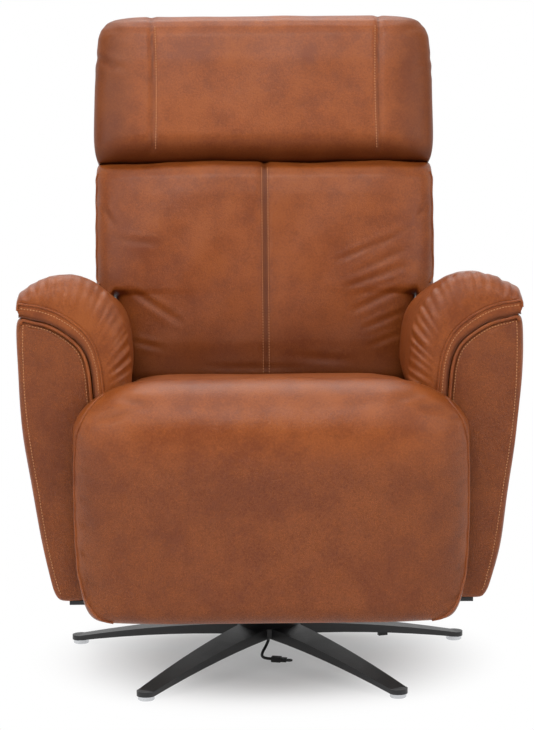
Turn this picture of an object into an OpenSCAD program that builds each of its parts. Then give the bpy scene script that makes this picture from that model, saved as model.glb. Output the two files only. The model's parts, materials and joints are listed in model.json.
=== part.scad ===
// Powered recliner on a five-arm star base. The sitter faces -Y and the swivel axis is Z.
// The origin is on the floor, on the swivel axis. Lengths are millimetres.

/* [Star base] */
// Number of arms on the star base
star_arms = 5; // [4:1:6]
// Distance from the swivel axis to each foot
foot_r = 345; // [310:5:380]
// Width of a star arm at the hub
star_root_w = 64; // [50:1:76]
// Width of a star arm at its tip
star_tip_w = 31; // [26:1:40]
// Thickness of a star arm at its tip
star_tip_t = 8; // [6:0.5:12]
// Thickness of a star arm at the hub
star_root_t = 20; // [16:1:26]
// Rise of the underside from the tip to the hub
star_rise = 36; // [26:1:44]
// Radius of the hub boss
hub_r = 56; // [50:1:64]
// Radius of the round glide under each foot
glide_r = 13.5; // [10:0.5:15]
// Height of a glide
glide_h = 7; // [5:0.5:9]

/* [Swivel] */
// Radius of the fixed column
column_r = 30; // [26:1:34]
// Radius of the lead's way through the column
column_bore_r = 11; // [8:0.5:14]
// Wall of the turning socket round the column
socket_wall = 9; // [6:0.5:12]
// Height of the swivel plate's top face above the floor
plate_top_z = 154; // [148:1:160]
// Thickness of the swivel plate
plate_t = 6; // [4:0.5:8]
// Side of the square swivel plate
plate_w = 250; // [220:5:280]

/* [Seat box] */
// Distance between the outer faces of the side boards
box_w = 544; // [530:2:560]
// Thickness of the side boards and of the seat rails
board_t = 16; // [12:1:20]
// Height of the side boards' lower edge above the floor
board_z = 186; // [180:1:192]
// Height of the seat rails' top face above the floor
rail_top_z = 352; // [346:1:354]
// Front end of the side boards
box_front_y = -275; // [-277:1:-265]
// Rear end of the side boards
box_rear_y = 262; // [255:1:268]
// Width of the square cross tubes
tube_w = 24; // [20:1:25]
// Width of the steel base rails
base_rail_w = 30; // [24:1:36]
// Diameter of the seat springs' wire
spring_d = 3.6; // [3:0.1:4.2]
// Number of seat springs
spring_count = 5; // [4:1:6]

/* [Seat cushion and footrest] */
// Widest part of the seat front and of the footrest
seat_w = 622; // [600:2:630]
// Width of the seat cushion between the arm pillows
seat_inner_w = 438; // [434:1:440]
// Flat width in the middle of the cushion's crown
crown_flat_w = 300; // [240:5:340]
// Distance of the footrest hinge in front of the swivel axis
knee_y = -320; // [-324:1:-316]
// Height of the footrest hinge
knee_z = 440; // [434:1:446]
// Radius of the rolled seat front
knee_r = 85; // [78:1:86]
// Height of the footrest's lower edge above the floor
pad_bottom_z = 146; // [140:1:160]
// Height at which the footrest is widest
pad_wide_z = 380; // [340:5:400]
// Depth of the footrest cushion behind its hinge line
pad_behind = 9; // [6:0.5:10]
// Thickness of the footrest board
pad_board_t = 9; // [8:0.5:10]

/* [Arms] */
// Overall width across the arms
arm_span_w = 802; // [792:2:820]
// Front face of the arms
arm_front_y = -280; // [-284:1:-276]
// Rear end of the arms
arm_rear_y = 275; // [270:1:285]
// Height of the arm body's outer top edge
arm_top_z = 620; // [610:1:624]
// Height of the arm's lower edge above the floor
arm_bottom_z = 161; // [156:1:172]
// Height of the arm pillow's crown
pillow_top_z = 688; // [680:1:694]
// Rear end of the arm pillow
pillow_rear_y = 98; // [80:1:100]

/* [Back] */
// Lean of the upright back, in degrees
rake = 11; // [9:0.5:12]
// Front face of the back where it meets the seat
back_y = 100; // [98:1:104]
// Height at which the back's front face meets the seat
back_z = 475; // [470:1:480]
// Width of the back above the arms
back_wide_w = 594; // [580:2:600]
// Width of the back between the arms
back_narrow_w = 472; // [456:2:476]
// Height of the shoulder where the back widens, along the back
shoulder_h = 145; // [140:1:160]
// Height of the back cushion, along the back
back_h = 376; // [366:1:380]
// Thickness of the back cushion
back_cushion_t = 132; // [124:1:134]
// Thickness of the outer back shell
shell_t = 26; // [20:1:28]
// Height of the back's pivot above the floor
back_pivot_z = 300; // [296:1:304]
// Distance of the back's pivot behind the swivel axis
back_pivot_y = 230; // [226:1:234]

/* [Headrest] */
// Width of the headrest
head_w = 598; // [580:2:604]
// Height of the headrest, along the back
head_h = 260; // [250:1:274]
// Gap between the headrest and the back cushion
head_gap = 1; // [0.5:0.5:3]
// Radius of the headrest's lower front edge, about its hinge
head_edge_r = 45; // [43:1:46]
// Thickness of the headrest cushion
head_cushion_t = 118; // [112:1:122]
// Thickness of the headrest's outer shell
head_shell_t = 66; // [50:1:70]
// Distance of each headrest seam from the middle
head_seam_x = 198; // [180:2:210]

/* [Drives] */
// Distance from the footrest hinge to the footrest crank's pin
knee_crank_r = 120; // [116:1:124]
// Angle of that crank at rest, in degrees below the horizontal
knee_crank_deg = -80; // [-82:1:-78]
// Length of the footrest drive link
knee_link_len = 260; // [250:1:268]
// Height of the footrest carriage's pin
knee_slide_z = 250; // [246:1:254]
// Distance from the back's pivot to its crank pin
back_crank_r = 90; // [86:1:94]
// Angle of the back's crank at rest, in degrees
back_crank_deg = -85; // [-87:1:-83]
// Length of the back drive link
back_link_len = 120; // [114:1:126]
// Height of the back carriage's pin
back_slide_z = 215; // [213:1:218]
// Distance of each drive from the middle of the seat
drive_x = 60; // [55:1:66]

/* [Controls] */
// Length of the switch plate in the arm's outer face
switch_len = 84; // [76:1:96]
// Height of the switch plate
switch_h = 34; // [30:1:40]
// Diameter of a button
button_d = 15; // [13:0.5:16]
// Travel of a button
button_travel = 1.5; // [1:0.1:2]

/* [Power lead] */
// Diameter of the power lead
lead_d = 5; // [4:0.5:6]
// Length of the connector's body
connector_len = 26; // [22:1:30]

/* [Hidden] */

// One overrun for all cuts
over = 1;
// Gap between soft faces and what they lie against
soft_gap = 0.4;
// Gap between a pin and its hole, on the radius
pin_gap = 0.05;
// Gap between steel plates that pass each other
plate_gap = 0.5;
// Thickness of lugs, plates and links
lug_t = 5;
// The drives' rails and links
rail_w = 30;
rail_h = 24;
lip = 4;
link_r = 8;
link_pin_r = 4;
// Fineness of round faces
fine = 48;

black = "#1c1c1e";
steel = "#8d9094";
dark_steel = "#3a3c40";
timber = "#c9a878";
leather = "#9b5630";
leather_dark = "#874a29";

// A vector's direction
function unit(v) = v / norm(v);
// The unit direction at an angle in the plane of Y and Z
function dir_yz(deg) = [cos(deg), sin(deg)];
// A list in the opposite order
function flipped(list) = [for (i = [len(list) - 1 : -1 : 0]) list[i]];
// The smooth drop of a rounded edge: 1 in the middle, 0 at the end
function rounding(share) = sqrt(max(0, 1 - share * share));
// A value between two others
function between(a, b, share) = a + (b - a) * share;

// The sum of a list of numbers, and the middle of a list of points
function sum(list) = list * [for (v = list) 1];
function mean(list) = [for (k = [0 : 2]) sum([for (p = list) p[k]]) / len(list)];

// A solid through a list of rings, each an even number of points in step. Each end is closed
// from its middle, or for a thin crescent between the ring's first half and its second.
module skin(rings, crescent = false) {
    n = len(rings[0]);
    last = len(rings) - 1;
    middles = crescent ? [] : [mean(rings[0]), mean(rings[last])];
    m = n * (last + 1);
    sides = [for (i = [0 : last - 1]) for (j = [0 : n - 1])
        let (a = i * n + j, b = i * n + (j + 1) % n)
        each [[a, b, a + n], [b, b + n, a + n]]];
    fans = [for (j = [0 : n - 1])
        let (k = (j + 1) % n)
        each [[j, m, k], [last * n + j, last * n + k, m + 1]]];
    strips = [for (j = [0 : n / 2 - 2])
        let (s = last * n)
        each [
            [j, n - 1 - j, j + 1], [j + 1, n - 1 - j, n - 2 - j],
            [s + j, s + j + 1, s + n - 1 - j], [s + j + 1, s + n - 2 - j, s + n - 1 - j]
        ]];
    polyhedron(points = [for (r = concat(rings, [middles])) each r],
        faces = concat(sides, crescent ? strips : fans), convexity = 6);
}

// A plate in the plane of Y and Z, centred on x
module plate_yz(x, t) {
    translate([x - t / 2, 0, 0]) rotate([90, 0, 90]) linear_extrude(t) children();
}

// A round bar along X, centred on x
module bar_x(x, y, z, r, len) {
    translate([x - len / 2, y, z]) rotate([0, 90, 0]) cylinder(r = r, h = len, $fn = fine);
}

// A flat strip with round ends, a little waisted between them. A strip that starts at another's
// end leaves out its own first end.
module strip(a, b, r_a, r_b, first_end = true) {
    d = b - a;
    waist = 0.96;
    if (first_end) translate(a) circle(r = r_a, $fn = fine);
    translate(b) circle(r = r_b, $fn = fine);
    translate(a) rotate(atan2(d[1], d[0])) polygon([
        [0, -waist * r_a], [norm(d), -waist * r_b], [norm(d), waist * r_b], [0, waist * r_a]
    ]);
}

module both_sides() {
    children();
    mirror([1, 0, 0]) children();
}

// Star base
star_steps = 8;
star_hub_r_share = 0.62;
star_arch_share = 1.7;
star_under_root_z = glide_h + star_rise;
star_top_root_z = star_under_root_z + star_root_t;
thrust_t = 4;
hub_neck = 14;
hub_neck_z = star_top_root_z + hub_neck;
hub_low_z = star_under_root_z - 6;
column_gap = 3;
column_top_z = plate_top_z - plate_t - column_gap;
glide_edge = 1.2;

function arm_under(s) = glide_h + star_rise * (1 - pow(s, star_arch_share));
function arm_over(s) = arm_under(s) + between(star_root_t, star_tip_t, s);

module star_arm() {
    outline = concat(
        [for (i = [0 : star_steps]) let (s = i / star_steps) [s * foot_r, arm_under(s)]],
        [[foot_r + star_tip_w, glide_h], [foot_r + star_tip_w, glide_h + star_tip_t]],
        [for (i = [star_steps : -1 : 0]) let (s = i / star_steps) [s * foot_r, arm_over(s)]]
    );
    intersection() {
        rotate([90, 0, 0])
            translate([0, 0, -star_root_w]) linear_extrude(2 * star_root_w) polygon(outline);
        linear_extrude(star_top_root_z + over) {
            polygon([
                [0, -star_root_w / 2], [foot_r, -star_tip_w / 2],
                [foot_r, star_tip_w / 2], [0, star_root_w / 2]
            ]);
            translate([foot_r, 0]) circle(d = star_tip_w, $fn = fine);
        }
    }
}

module star_base() {
    color(black)
    difference() {
        union() {
            for (i = [0 : star_arms - 1]) rotate(90 + i * 360 / star_arms) star_arm();
            rotate_extrude($fn = fine) polygon([
                [0, hub_low_z], [hub_r * star_hub_r_share, hub_low_z],
                [hub_r, star_under_root_z], [hub_r, star_top_root_z - thrust_t],
                [hub_r - thrust_t, star_top_root_z], [column_r + socket_wall, hub_neck_z],
                [column_r, hub_neck_z], [column_r, column_top_z], [0, column_top_z]
            ]);
        }
        cylinder(r = column_bore_r, h = plate_top_z, $fn = fine);
    }
}

module star_glides() {
    color("silver")
    for (i = [0 : star_arms - 1]) rotate(90 + i * 360 / star_arms) translate([foot_r, 0, 0])
        rotate_extrude($fn = fine) polygon([
            [0, 0], [glide_r - glide_edge, 0], [glide_r, glide_edge], [glide_r, glide_h], [0, glide_h]
        ]);
}

// Swivel
module swivel_thrust_ring() {
    color(steel) translate([0, 0, hub_neck_z]) difference() {
        cylinder(r = column_r + socket_wall, h = thrust_t, $fn = fine);
        translate([0, 0, -over]) cylinder(r = column_r + pin_gap, h = thrust_t + 2 * over, $fn = fine);
    }
}

socket_z = hub_neck_z + thrust_t + pin_gap;

module swivel_socket() {
    color(dark_steel) translate([0, 0, socket_z]) difference() {
        cylinder(r = column_r + socket_wall, h = plate_top_z - plate_t - socket_z, $fn = fine);
        translate([0, 0, -over])
            cylinder(r = column_r + pin_gap, h = plate_top_z, $fn = fine);
    }
}

bolt_r = 4;
bolt_head_r = 7;
bolt_head_h = 5;
plate_corner = 20;
base_rail_x = 100;

module swivel_plate() {
    half = plate_w / 2;
    color(dark_steel) translate([0, 0, plate_top_z - plate_t]) difference() {
        linear_extrude(plate_t) polygon([
            [half - plate_corner, -half], [half, plate_corner - half], [half, half - plate_corner],
            [half - plate_corner, half], [plate_corner - half, half], [-half, half - plate_corner],
            [-half, plate_corner - half], [plate_corner - half, -half]
        ]);
        translate([0, 0, -over]) cylinder(r = column_bore_r, h = plate_t + 2 * over, $fn = fine);
        for (x = [-base_rail_x, base_rail_x]) for (y = [-base_rail_x, base_rail_x])
            translate([x, y, -over]) cylinder(r = bolt_r, h = plate_t + 2 * over, $fn = fine);
    }
}

module plate_bolts() {
    color(steel) for (x = [-base_rail_x, base_rail_x]) for (y = [-base_rail_x, base_rail_x])
        translate([x, y, plate_top_z - plate_t - bolt_head_h])
            cylinder(r = bolt_head_r, h = bolt_head_h, $fn = 6);
}

// Seat box
rail_wall = 3;
base_rail_h = 22;
tube_z = plate_top_z + base_rail_h;
front_tube_y = box_front_y + 4 * tube_w;
rear_tube_y = box_rear_y - 4 * tube_w;
board_in_x = box_w / 2 - board_t;
seat_rail_h = 24;
front_rail_y = box_front_y;
rear_rail_y = rear_tube_y - board_t / 2;
rear_rail_h = 42;

module base_rails() {
    start = front_tube_y - tube_w;
    run = rear_tube_y + tube_w - start;
    color(dark_steel) for (x = [-base_rail_x, base_rail_x])
        translate([x, start + run, plate_top_z]) rotate([90, 0, 0]) linear_extrude(run)
            difference() {
                translate([-base_rail_w / 2, 0]) square([base_rail_w, base_rail_h]);
                translate([rail_wall - base_rail_w / 2, -over])
                    square([base_rail_w - 2 * rail_wall, base_rail_h - rail_wall + over]);
            }
}

module cross_tubes() {
    color(dark_steel) for (y = [front_tube_y, rear_tube_y])
        translate([-board_in_x, y - tube_w / 2, tube_z]) rotate([90, 0, 90])
            linear_extrude(2 * board_in_x) difference() {
                square(tube_w);
                translate([rail_wall, rail_wall]) square(tube_w - 2 * rail_wall);
            }
}

back_pin_r = 6;

module side_board() {
    color(timber) difference() {
        plate_yz(box_w / 2 - board_t / 2, board_t) polygon([
            [box_front_y, board_z + 3 * tube_w], [box_front_y + 3 * tube_w, board_z],
            [box_rear_y - tube_w, board_z], [box_rear_y, board_z + tube_w],
            [box_rear_y, back_pivot_z + 2 * tube_w], [box_rear_y - tube_w, rail_top_z],
            [box_front_y, rail_top_z]
        ]);
        bar_x(box_w / 2, back_pivot_y, back_pivot_z, back_pin_r, 3 * board_t);
    }
}
module side_board_right() { side_board(); }
module side_board_left() { mirror([1, 0, 0]) side_board(); }

module front_seat_rail() {
    color(timber) translate([-board_in_x, front_rail_y, rail_top_z - seat_rail_h])
        cube([2 * board_in_x, 1.8 * board_t, seat_rail_h]);
}

module rear_seat_rail() {
    color(timber) translate([-board_in_x, rear_rail_y, rail_top_z - rear_rail_h])
        cube([2 * board_in_x, board_t, rear_rail_h]);
}

// Springs: flat zigzag wires from the front rail to the rear rail
spring_pitch = 92;
spring_swing = 44;
spring_turns = 11;
spring_y0 = front_rail_y + board_t;
spring_y1 = rear_rail_y + board_t / 2;
spring_step = (spring_y1 - spring_y0) / spring_turns;

module spring_wire() {
    turn_r = spring_step / 2;
    for (i = [0 : spring_turns]) {
        y = spring_y0 + i * spring_step;
        translate([-spring_swing / 2 + turn_r, y - spring_d / 2]) square([spring_swing - 2 * turn_r, spring_d]);
    }
    for (i = [0 : spring_turns - 1]) {
        side = i % 2 == 0 ? 1 : -1;
        translate([side * (spring_swing / 2 - turn_r), spring_y0 + (i + 0.5) * spring_step])
            intersection() {
                difference() {
                    circle(r = turn_r + spring_d / 2, $fn = fine);
                    circle(r = turn_r - spring_d / 2, $fn = fine);
                }
                translate([side > 0 ? 0 : -turn_r - spring_d, -turn_r - spring_d])
                    square([turn_r + spring_d, 2 * (turn_r + spring_d)]);
            }
    }
}

module at_springs() {
    for (i = [0 : spring_count - 1])
        translate([(i - (spring_count - 1) / 2) * spring_pitch, 0, rail_top_z]) children();
}

module seat_springs() {
    color(steel) at_springs() linear_extrude(spring_d) spring_wire();
}

clip_w = spring_swing - spring_step - 2 * plate_gap;
clip_t = 1.6;

module spring_clips() {
    color(dark_steel) at_springs() for (y = [spring_y0, spring_y1])
        translate([-clip_w / 2, y - board_t / 2 + clip_t, 0]) difference() {
            cube([clip_w, board_t - 2 * clip_t, spring_d + clip_t]);
            translate([-over, board_t / 2 - clip_t - spring_d / 2, -over])
                cube([clip_w + 2 * over, spring_d, spring_d + over]);
        }
}

// Seat cushion and footrest: sections across the chair, rolled about the hinge line
seat_bottom_z = rail_top_z + spring_d + clip_t + soft_gap;
seat_back_gap = 5;
seat_rear_y = back_y - seat_back_gap;
seat_rear_drop = 46;
seat_drop_power = 1.15;
roll_steps = 12;
roll_start_deg = 290;
roll_turn_deg = 200;
roll_low_share = 0.94;
slot_end_deg = 181;
arm_gap = 6;
seat_edge_r = 16;
lug_x = 200;
// Places of the sections, as shares of the half width
seat_in = seat_inner_w / seat_w;
share_step = 0.002;
seat_end_shares = [0.2, 0.42, 0.56];
seat_edge_shares = [seat_in - 6 * share_step, seat_in - share_step];
seat_front_shares = [seat_in + share_step, 0.76, 0.82, 0.87, 0.915, 0.95, 0.975, 0.99];

function mirrored_shares(list) = concat([for (s = flipped(list)) -s], [0], list);
function roll_r(share) =
    let (u = (abs(share) * seat_w - crown_flat_w) / (seat_w - crown_flat_w))
    u <= 0 ? knee_r : knee_r * rounding(u);

// The seat's section: round the roll, back along the crown, down and forward again.
// In a slot, the roll's lower front gives way to the hinge's lug and arm.
function seat_ring(share, between_arms, slotted = false) =
    let (
        r = roll_r(share),
        rear = between_arms ? seat_rear_y : arm_front_y - arm_gap,
        low = between_arms ? seat_bottom_z : knee_z - r * roll_low_share,
        crown = knee_z + r,
        sink = between_arms ? seat_rear_drop : soft_gap,
        edge = between_arms ? seat_edge_r : soft_gap,
        slot = [
            [knee_slot_rear_y, seat_bottom_z], [knee_slot_rear_y - knee_skin / 3, knee_z - knee_r / 2],
            [knee_y + 1.25 * knee_hub_r, knee_z], [knee_y + knee_hub_r, knee_z + knee_hub_r],
            [knee_y, knee_z + 1.25 * knee_hub_r], [knee_y - knee_r / 2, knee_z + 0.75 * knee_hub_r],
            knee_at(r, slot_end_deg)
        ],
        roll = [for (i = [0 : roll_steps])
            slotted && i < len(slot) ? slot[i] : knee_at(r, roll_start_deg - i * roll_turn_deg / roll_steps)],
        top = [for (s = [0.25, 0.5, 0.75]) [between(knee_y, rear, s), crown - sink * pow(s, seat_drop_power)]],
        back_edge = [
            [rear - edge, crown - sink], [rear, crown - sink - edge],
            [rear, low + edge / 2], [rear - edge / 2, low]
        ],
        bottom = [for (s = [0.66, 0.33]) [between(knee_y + 0.42 * r, rear, s), low]]
    )
    [for (p = concat(bottom, roll, top, back_edge)) [share * seat_w / 2, p[0], p[1]]];

function knee_at(r, deg) = [knee_y, knee_z] + r * dir_yz(deg);

// Slots in the roll's underside, in which the footrest's lugs and arms work
knee_slot_w = 4 * lug_t + 2;
knee_slot_rear_y = box_front_y + 5 * plate_gap;
knee_skin = 13;
slot_in = (lug_x - knee_slot_w / 2) / (seat_w / 2);
slot_out = (lug_x + knee_slot_w / 2) / (seat_w / 2);

function side_sections(side) = concat(
    [for (s = seat_end_shares) seat_ring(side * s, true)],
    [
        seat_ring(side * (slot_in - share_step), true), seat_ring(side * slot_in, true, true),
        seat_ring(side * slot_out, true, true), seat_ring(side * (slot_out + share_step), true)
    ],
    [for (s = seat_edge_shares) seat_ring(side * s, true)],
    [for (s = seat_front_shares) seat_ring(side * s, false)]
);

module seat_cushion() {
    color(leather) skin(concat(flipped(side_sections(-1)), [seat_ring(0, true)], side_sections(1)));
}

// The footrest's section: its top end is hollowed to turn about the same line
pad_shares = concat(
    seat_end_shares, [slot_in - share_step, slot_out + share_step], seat_edge_shares, seat_front_shares
);
pad_lip_deg = 2;
pad_corner = 34;
pad_rear_corner = 14;
pad_steps = 12;
pad_sag_deg = 4;
pad_heel_deg = 1;
pad_corner_share = 0.78;
pad_low_power = 2.2;

function pad_low(share) =
    let (v = (abs(share) - pad_corner_share) / (1 - pad_corner_share))
    v <= 0 ? pad_bottom_z
        : pad_bottom_z + (pad_wide_z - pad_bottom_z) * pow(1 - rounding(v), pad_low_power);

function corner_arc(cy, cz, r, from, to, steps) =
    [for (i = [0 : steps]) [cy, cz] + r * dir_yz(between(from, to, i / steps))];

function pad_ring(share) =
    let (
        r = roll_r(share),
        hollow = (r + soft_gap) / cos(pad_sag_deg),
        behind = pad_behind * r / knee_r,
        low = pad_low(share),
        front = knee_y - r,
        rear = knee_y + behind,
        top_deg = 270 + asin(behind / hollow) - pad_heel_deg,
        room = (knee_z - hollow - low) / 2.4,
        c_front = min(pad_corner * r / knee_r, room),
        c_rear = min(pad_rear_corner * r / knee_r, room),
        arc = [for (i = [0 : pad_steps])
            knee_at(hollow, between(180 + pad_lip_deg, top_deg, i / pad_steps))],
        rear_face = [for (s = [0.5]) [rear, between(arc[pad_steps][1], low + c_rear, s)]],
        rear_arc = corner_arc(rear - c_rear, low + c_rear, c_rear, 0, -90, 2),
        front_arc = corner_arc(front + c_front, low + c_front, c_front, 270, 180, 4),
        front_face = [for (s = [0.3, 0.65]) [front, between(low + c_front, knee_z - 0.2 * r, s)]]
    )
    [for (p = concat(arc, rear_face, rear_arc, front_arc, front_face)) [share * seat_w / 2, p[0], p[1]]];

module footrest_pad() {
    color(leather) skin([for (s = mirrored_shares(pad_shares)) pad_ring(s)]);
}

// Footrest hardware
knee_pin_r = 5;
knee_hub_r = 16;
lug_foot_w = 10;
pin_head_t = 2;
pad_board_y = knee_y + pad_behind + soft_gap;
pad_board_w = 500;
pad_board_up = 40;
pad_board_z = pad_bottom_z + pad_board_up;
knee_tube_r = 10;
knee_tube_out = 40;
knee_tube_lead_deg = 3;
knee_tube_at = knee_at(knee_crank_r + knee_tube_out, knee_crank_deg + knee_tube_lead_deg);
knee_crank_at = knee_at(knee_crank_r, knee_crank_deg);
knee_arm_r = 13;
knee_neck_r = 9;
knee_arm_foot = [pad_board_y + pad_board_t + knee_arm_r, pad_board_z + 1.5 * knee_arm_r];
arm_foot_w = 24;
arm_foot_h = 50;
flange_t = 3;
crank_rim = 4;
crank_end_r = 11;
knee_link_x = -drive_x - (rail_w + lug_t) / 2 - 2 * plate_gap;
knee_crank_x = knee_link_x + lug_t + plate_gap;
arm_plate_x = lug_x - lug_t / 2 - plate_gap / 2;
lug_plate_x = lug_x + lug_t / 2 + plate_gap / 2;

module footrest_arms() {
    color(dark_steel) both_sides() {
        difference() {
            plate_yz(arm_plate_x, lug_t) {
                translate([knee_y, knee_z]) circle(r = knee_hub_r, $fn = fine);
                strip([knee_y, knee_z], knee_tube_at, knee_neck_r, knee_neck_r);
                strip(knee_tube_at, knee_arm_foot, knee_arm_r, knee_arm_r);
            }
            bar_x(arm_plate_x, knee_y, knee_z, knee_pin_r + pin_gap, 2 * lug_t);
            bar_x(arm_plate_x, knee_tube_at[0], knee_tube_at[1], knee_tube_r, 2 * lug_t);
        }
        translate([arm_plate_x - lug_t / 2 - arm_foot_w, pad_board_y + pad_board_t, pad_board_z])
            cube([arm_foot_w + lug_t, flange_t, arm_foot_h]);
    }
}

module footrest_drive_tube() {
    color(dark_steel) {
        bar_x(0, knee_tube_at[0], knee_tube_at[1], knee_tube_r, 2 * (arm_plate_x + lug_t / 2));
        plate_yz(knee_crank_x, lug_t)
            strip(knee_tube_at, knee_crank_at, knee_tube_r + crank_rim, crank_end_r);
        bar_x((knee_crank_x + knee_link_x) / 2, knee_crank_at[0], knee_crank_at[1],
            link_pin_r, 2 * lug_t + plate_gap);
    }
}

module footrest_board() {
    board_h = knee_z - knee_r - pad_board_z - 3 * lug_t;
    notch_w = 3 * lug_t;
    color(timber) translate([0, pad_board_y, pad_board_z]) difference() {
        translate([-pad_board_w / 2, 0, 0]) cube([pad_board_w, pad_board_t, board_h]);
        both_sides() translate([arm_plate_x - notch_w / 2, -over, board_h / 2])
            cube([notch_w, pad_board_t + 2 * over, board_h]);
        translate([knee_link_x - lug_t, -over, knee_tube_at[1] - pad_board_z])
            cube([notch_w + lug_t, pad_board_t + 2 * over, board_h]);
    }
}

module footrest_lugs() {
    foot_z = rail_top_z - seat_rail_h + over;
    foot_h = 0.85 * seat_rail_h;
    color(dark_steel) both_sides() difference() {
        union() {
            plate_yz(lug_plate_x, lug_t) {
                strip([knee_y, knee_z], [front_rail_y - lug_foot_w, rail_top_z - lug_foot_w],
                    knee_hub_r, lug_foot_w);
                translate([front_rail_y - lug_foot_w, foot_z]) square([lug_foot_w, foot_h]);
            }
            translate([lug_plate_x - lug_t / 2, front_rail_y - flange_t, foot_z])
                cube([3 * lug_t, flange_t, foot_h]);
        }
        bar_x(lug_plate_x, knee_y, knee_z, knee_pin_r, 2 * lug_t);
    }
}

module footrest_hinge_pins() {
    color(steel) both_sides() {
        bar_x(lug_x, knee_y, knee_z, knee_pin_r, 2 * lug_t + plate_gap);
        bar_x(lug_x + lug_t + (plate_gap + pin_head_t) / 2, knee_y, knee_z, 1.6 * knee_pin_r, pin_head_t);
    }
}

// Arms: the front outline runs round from the inner lower corner
arm_in_x = box_w / 2;
arm_out_x = arm_span_w / 2;
arm_w = arm_out_x - arm_in_x;
arm_h = arm_top_z - arm_bottom_z;
// Outline as shares of the arm's width and height, from the inner lower corner
arm_outline_shares = [
    [0, 0.012], [0.3, 0], [0.5, 0], [0.56, 0.012], [0.62, 0.05], [0.74, 0.2], [0.855, 0.42],
    [0.94, 0.58], [0.985, 0.715], [1, 0.84], [1, 0.93], [0.99, 0.975], [0.965, 0.997], [0.93, 1]
];
arm_crest_shares = [
    [0.82, 0.992], [0.68, 0.984], [0.55, 0.971], [0.42, 0.95], [0.3, 0.925], [0.2, 0.895],
    [0.12, 0.855], [0.07, 0.805], [0.045, 0.76], [0.03, 0.715], [0, 0.64]
];
// Shares over 1 lie on the pillow, whose crown is at the share of 1.148
pillow_top_share = 1.148;
function arm_point(s) = [
    arm_in_x + s[0] * arm_w,
    s[1] <= 1 ? arm_bottom_z + s[1] * arm_h
        : arm_top_z + (s[1] - 1) / (pillow_top_share - 1) * (pillow_top_z - arm_top_z)
];

switch_y = -110;
switch_z = 530;
switch_depth = 12;
switch_wall = 2;

module arm_body() {
    color(leather_dark) intersection() {
        translate([0, arm_rear_y, 0]) rotate([90, 0, 0])
            linear_extrude(arm_rear_y - arm_front_y)
            polygon([for (s = concat(arm_outline_shares, arm_crest_shares)) arm_point(s)]);
        plate_yz(arm_in_x + arm_w / 2, 2 * arm_w) polygon([
            [arm_front_y, arm_bottom_z - over], [arm_rear_y - 0.1 * arm_h, arm_bottom_z - over],
            [arm_rear_y - 0.03 * arm_h, arm_bottom_z + 0.08 * arm_h], [arm_rear_y, arm_bottom_z + 0.3 * arm_h],
            [arm_rear_y, arm_top_z - 0.2 * arm_h], [arm_rear_y - 0.02 * arm_h, arm_top_z - 0.1 * arm_h],
            [arm_rear_y - 0.09 * arm_h, arm_top_z - 0.03 * arm_h], [arm_rear_y - 0.2 * arm_h, arm_top_z + over],
            [arm_front_y, arm_top_z + over]
        ]);
    }
}

module switch_outline(grow) {
    translate([switch_y, switch_z]) {
        r = switch_h / 2 + grow;
        run = switch_len / 2 - switch_h / 2;
        translate([-run, 0]) circle(r = r, $fn = fine);
        translate([run, 0]) circle(r = r, $fn = fine);
        translate([-run, -r]) square([2 * run, 2 * r]);
    }
}

module arm_body_right() { arm_body(); }
module arm_body_left() {
    difference() {
        mirror([1, 0, 0]) arm_body();
        color(leather_dark) plate_yz(-arm_out_x, 2 * switch_depth) switch_outline(0);
    }
}

// Arm pillow: a crescent over the arm's crest, in step from its outer tip to its inner end
pillow_outer_shares = [
    [0.955, 1.012], [1.0, 1.045], [0.985, 1.078], [0.93, 1.1], [0.66, 1.137],
    [0.45, pillow_top_share], [0.24, 1.142], [0.03, 1.112], [-0.16, 1.06], [-0.28, 1.0],
    [-0.352, 0.93], [-0.4, 0.8], [-0.37, 0.73], [-0.29, 0.67]
];
pillow_tuck_shares = [[0.006, 0.668], [-0.06, 0.65]];
crest_line = [for (s = concat([[0.965, 0.997], [0.93, 1]], arm_crest_shares)) arm_point(s)];
// The crest's point i, moved out by the gap under the pillow
function over_crest(i) =
    let (way = unit(crest_line[i + 1] - crest_line[max(i - 1, 0)]))
    crest_line[i] + soft_gap * [way[1], -way[0]];
pillow_proud = 3;
pillow_front_y = arm_front_y - pillow_proud;
// Stations along the pillow: place and fullness
pillow_station_shares = [
    [0, 0.86], [0.025, 0.95], [0.07, 1], [0.25, 0.93], [0.45, 0.83], [0.65, 0.73], [0.8, 0.66],
    [0.9, 0.59], [0.96, 0.47], [1, 0.26]
];

function pillow_ring(station) =
    let (
        y = between(pillow_front_y, pillow_rear_y, station[0]),
        inner = concat([for (i = [0 : len(crest_line) - 2]) over_crest(i)],
            [for (s = pillow_tuck_shares) arm_point(s)]),
        outer = [for (i = [0 : len(inner) - 1])
            between(inner[i], arm_point(pillow_outer_shares[i]), station[1])]
    )
    [for (p = concat(outer, flipped(inner))) [p[0], y, p[1]]];

module arm_pillow_right() {
    color(leather) skin([for (s = pillow_station_shares) pillow_ring(s)], crescent = true);
}
module arm_pillow_left() { mirror([1, 0, 0]) arm_pillow_right(); }

block_w = 44;
block_len = 30;
block_h = 12;
block_in = 8;
arm_low = 0.012 * arm_h;
arm_bolt_ys = [-140, 60];
panel_h = 50;

module arm_foot_blocks() {
    color(black) both_sides() for (y = [arm_front_y + block_len / 3, arm_rear_y - 3.6 * block_len])
        translate([arm_in_x + block_in, y, arm_bottom_z - block_h + arm_low])
            cube([block_w, block_len, block_h - arm_low]);
}

module arm_bolts() {
    color(steel) both_sides() for (y = arm_bolt_ys)
        bar_x(board_in_x - bolt_head_h / 2, y, rail_top_z - 1.6 * tube_w, bolt_head_r, bolt_head_h);
}

module rear_panel() {
    color(black) translate([-board_in_x, box_rear_y - 0.6 * board_t, board_z + tube_w])
        cube([2 * board_in_x, 0.6 * board_t, panel_h]);
}

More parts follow.
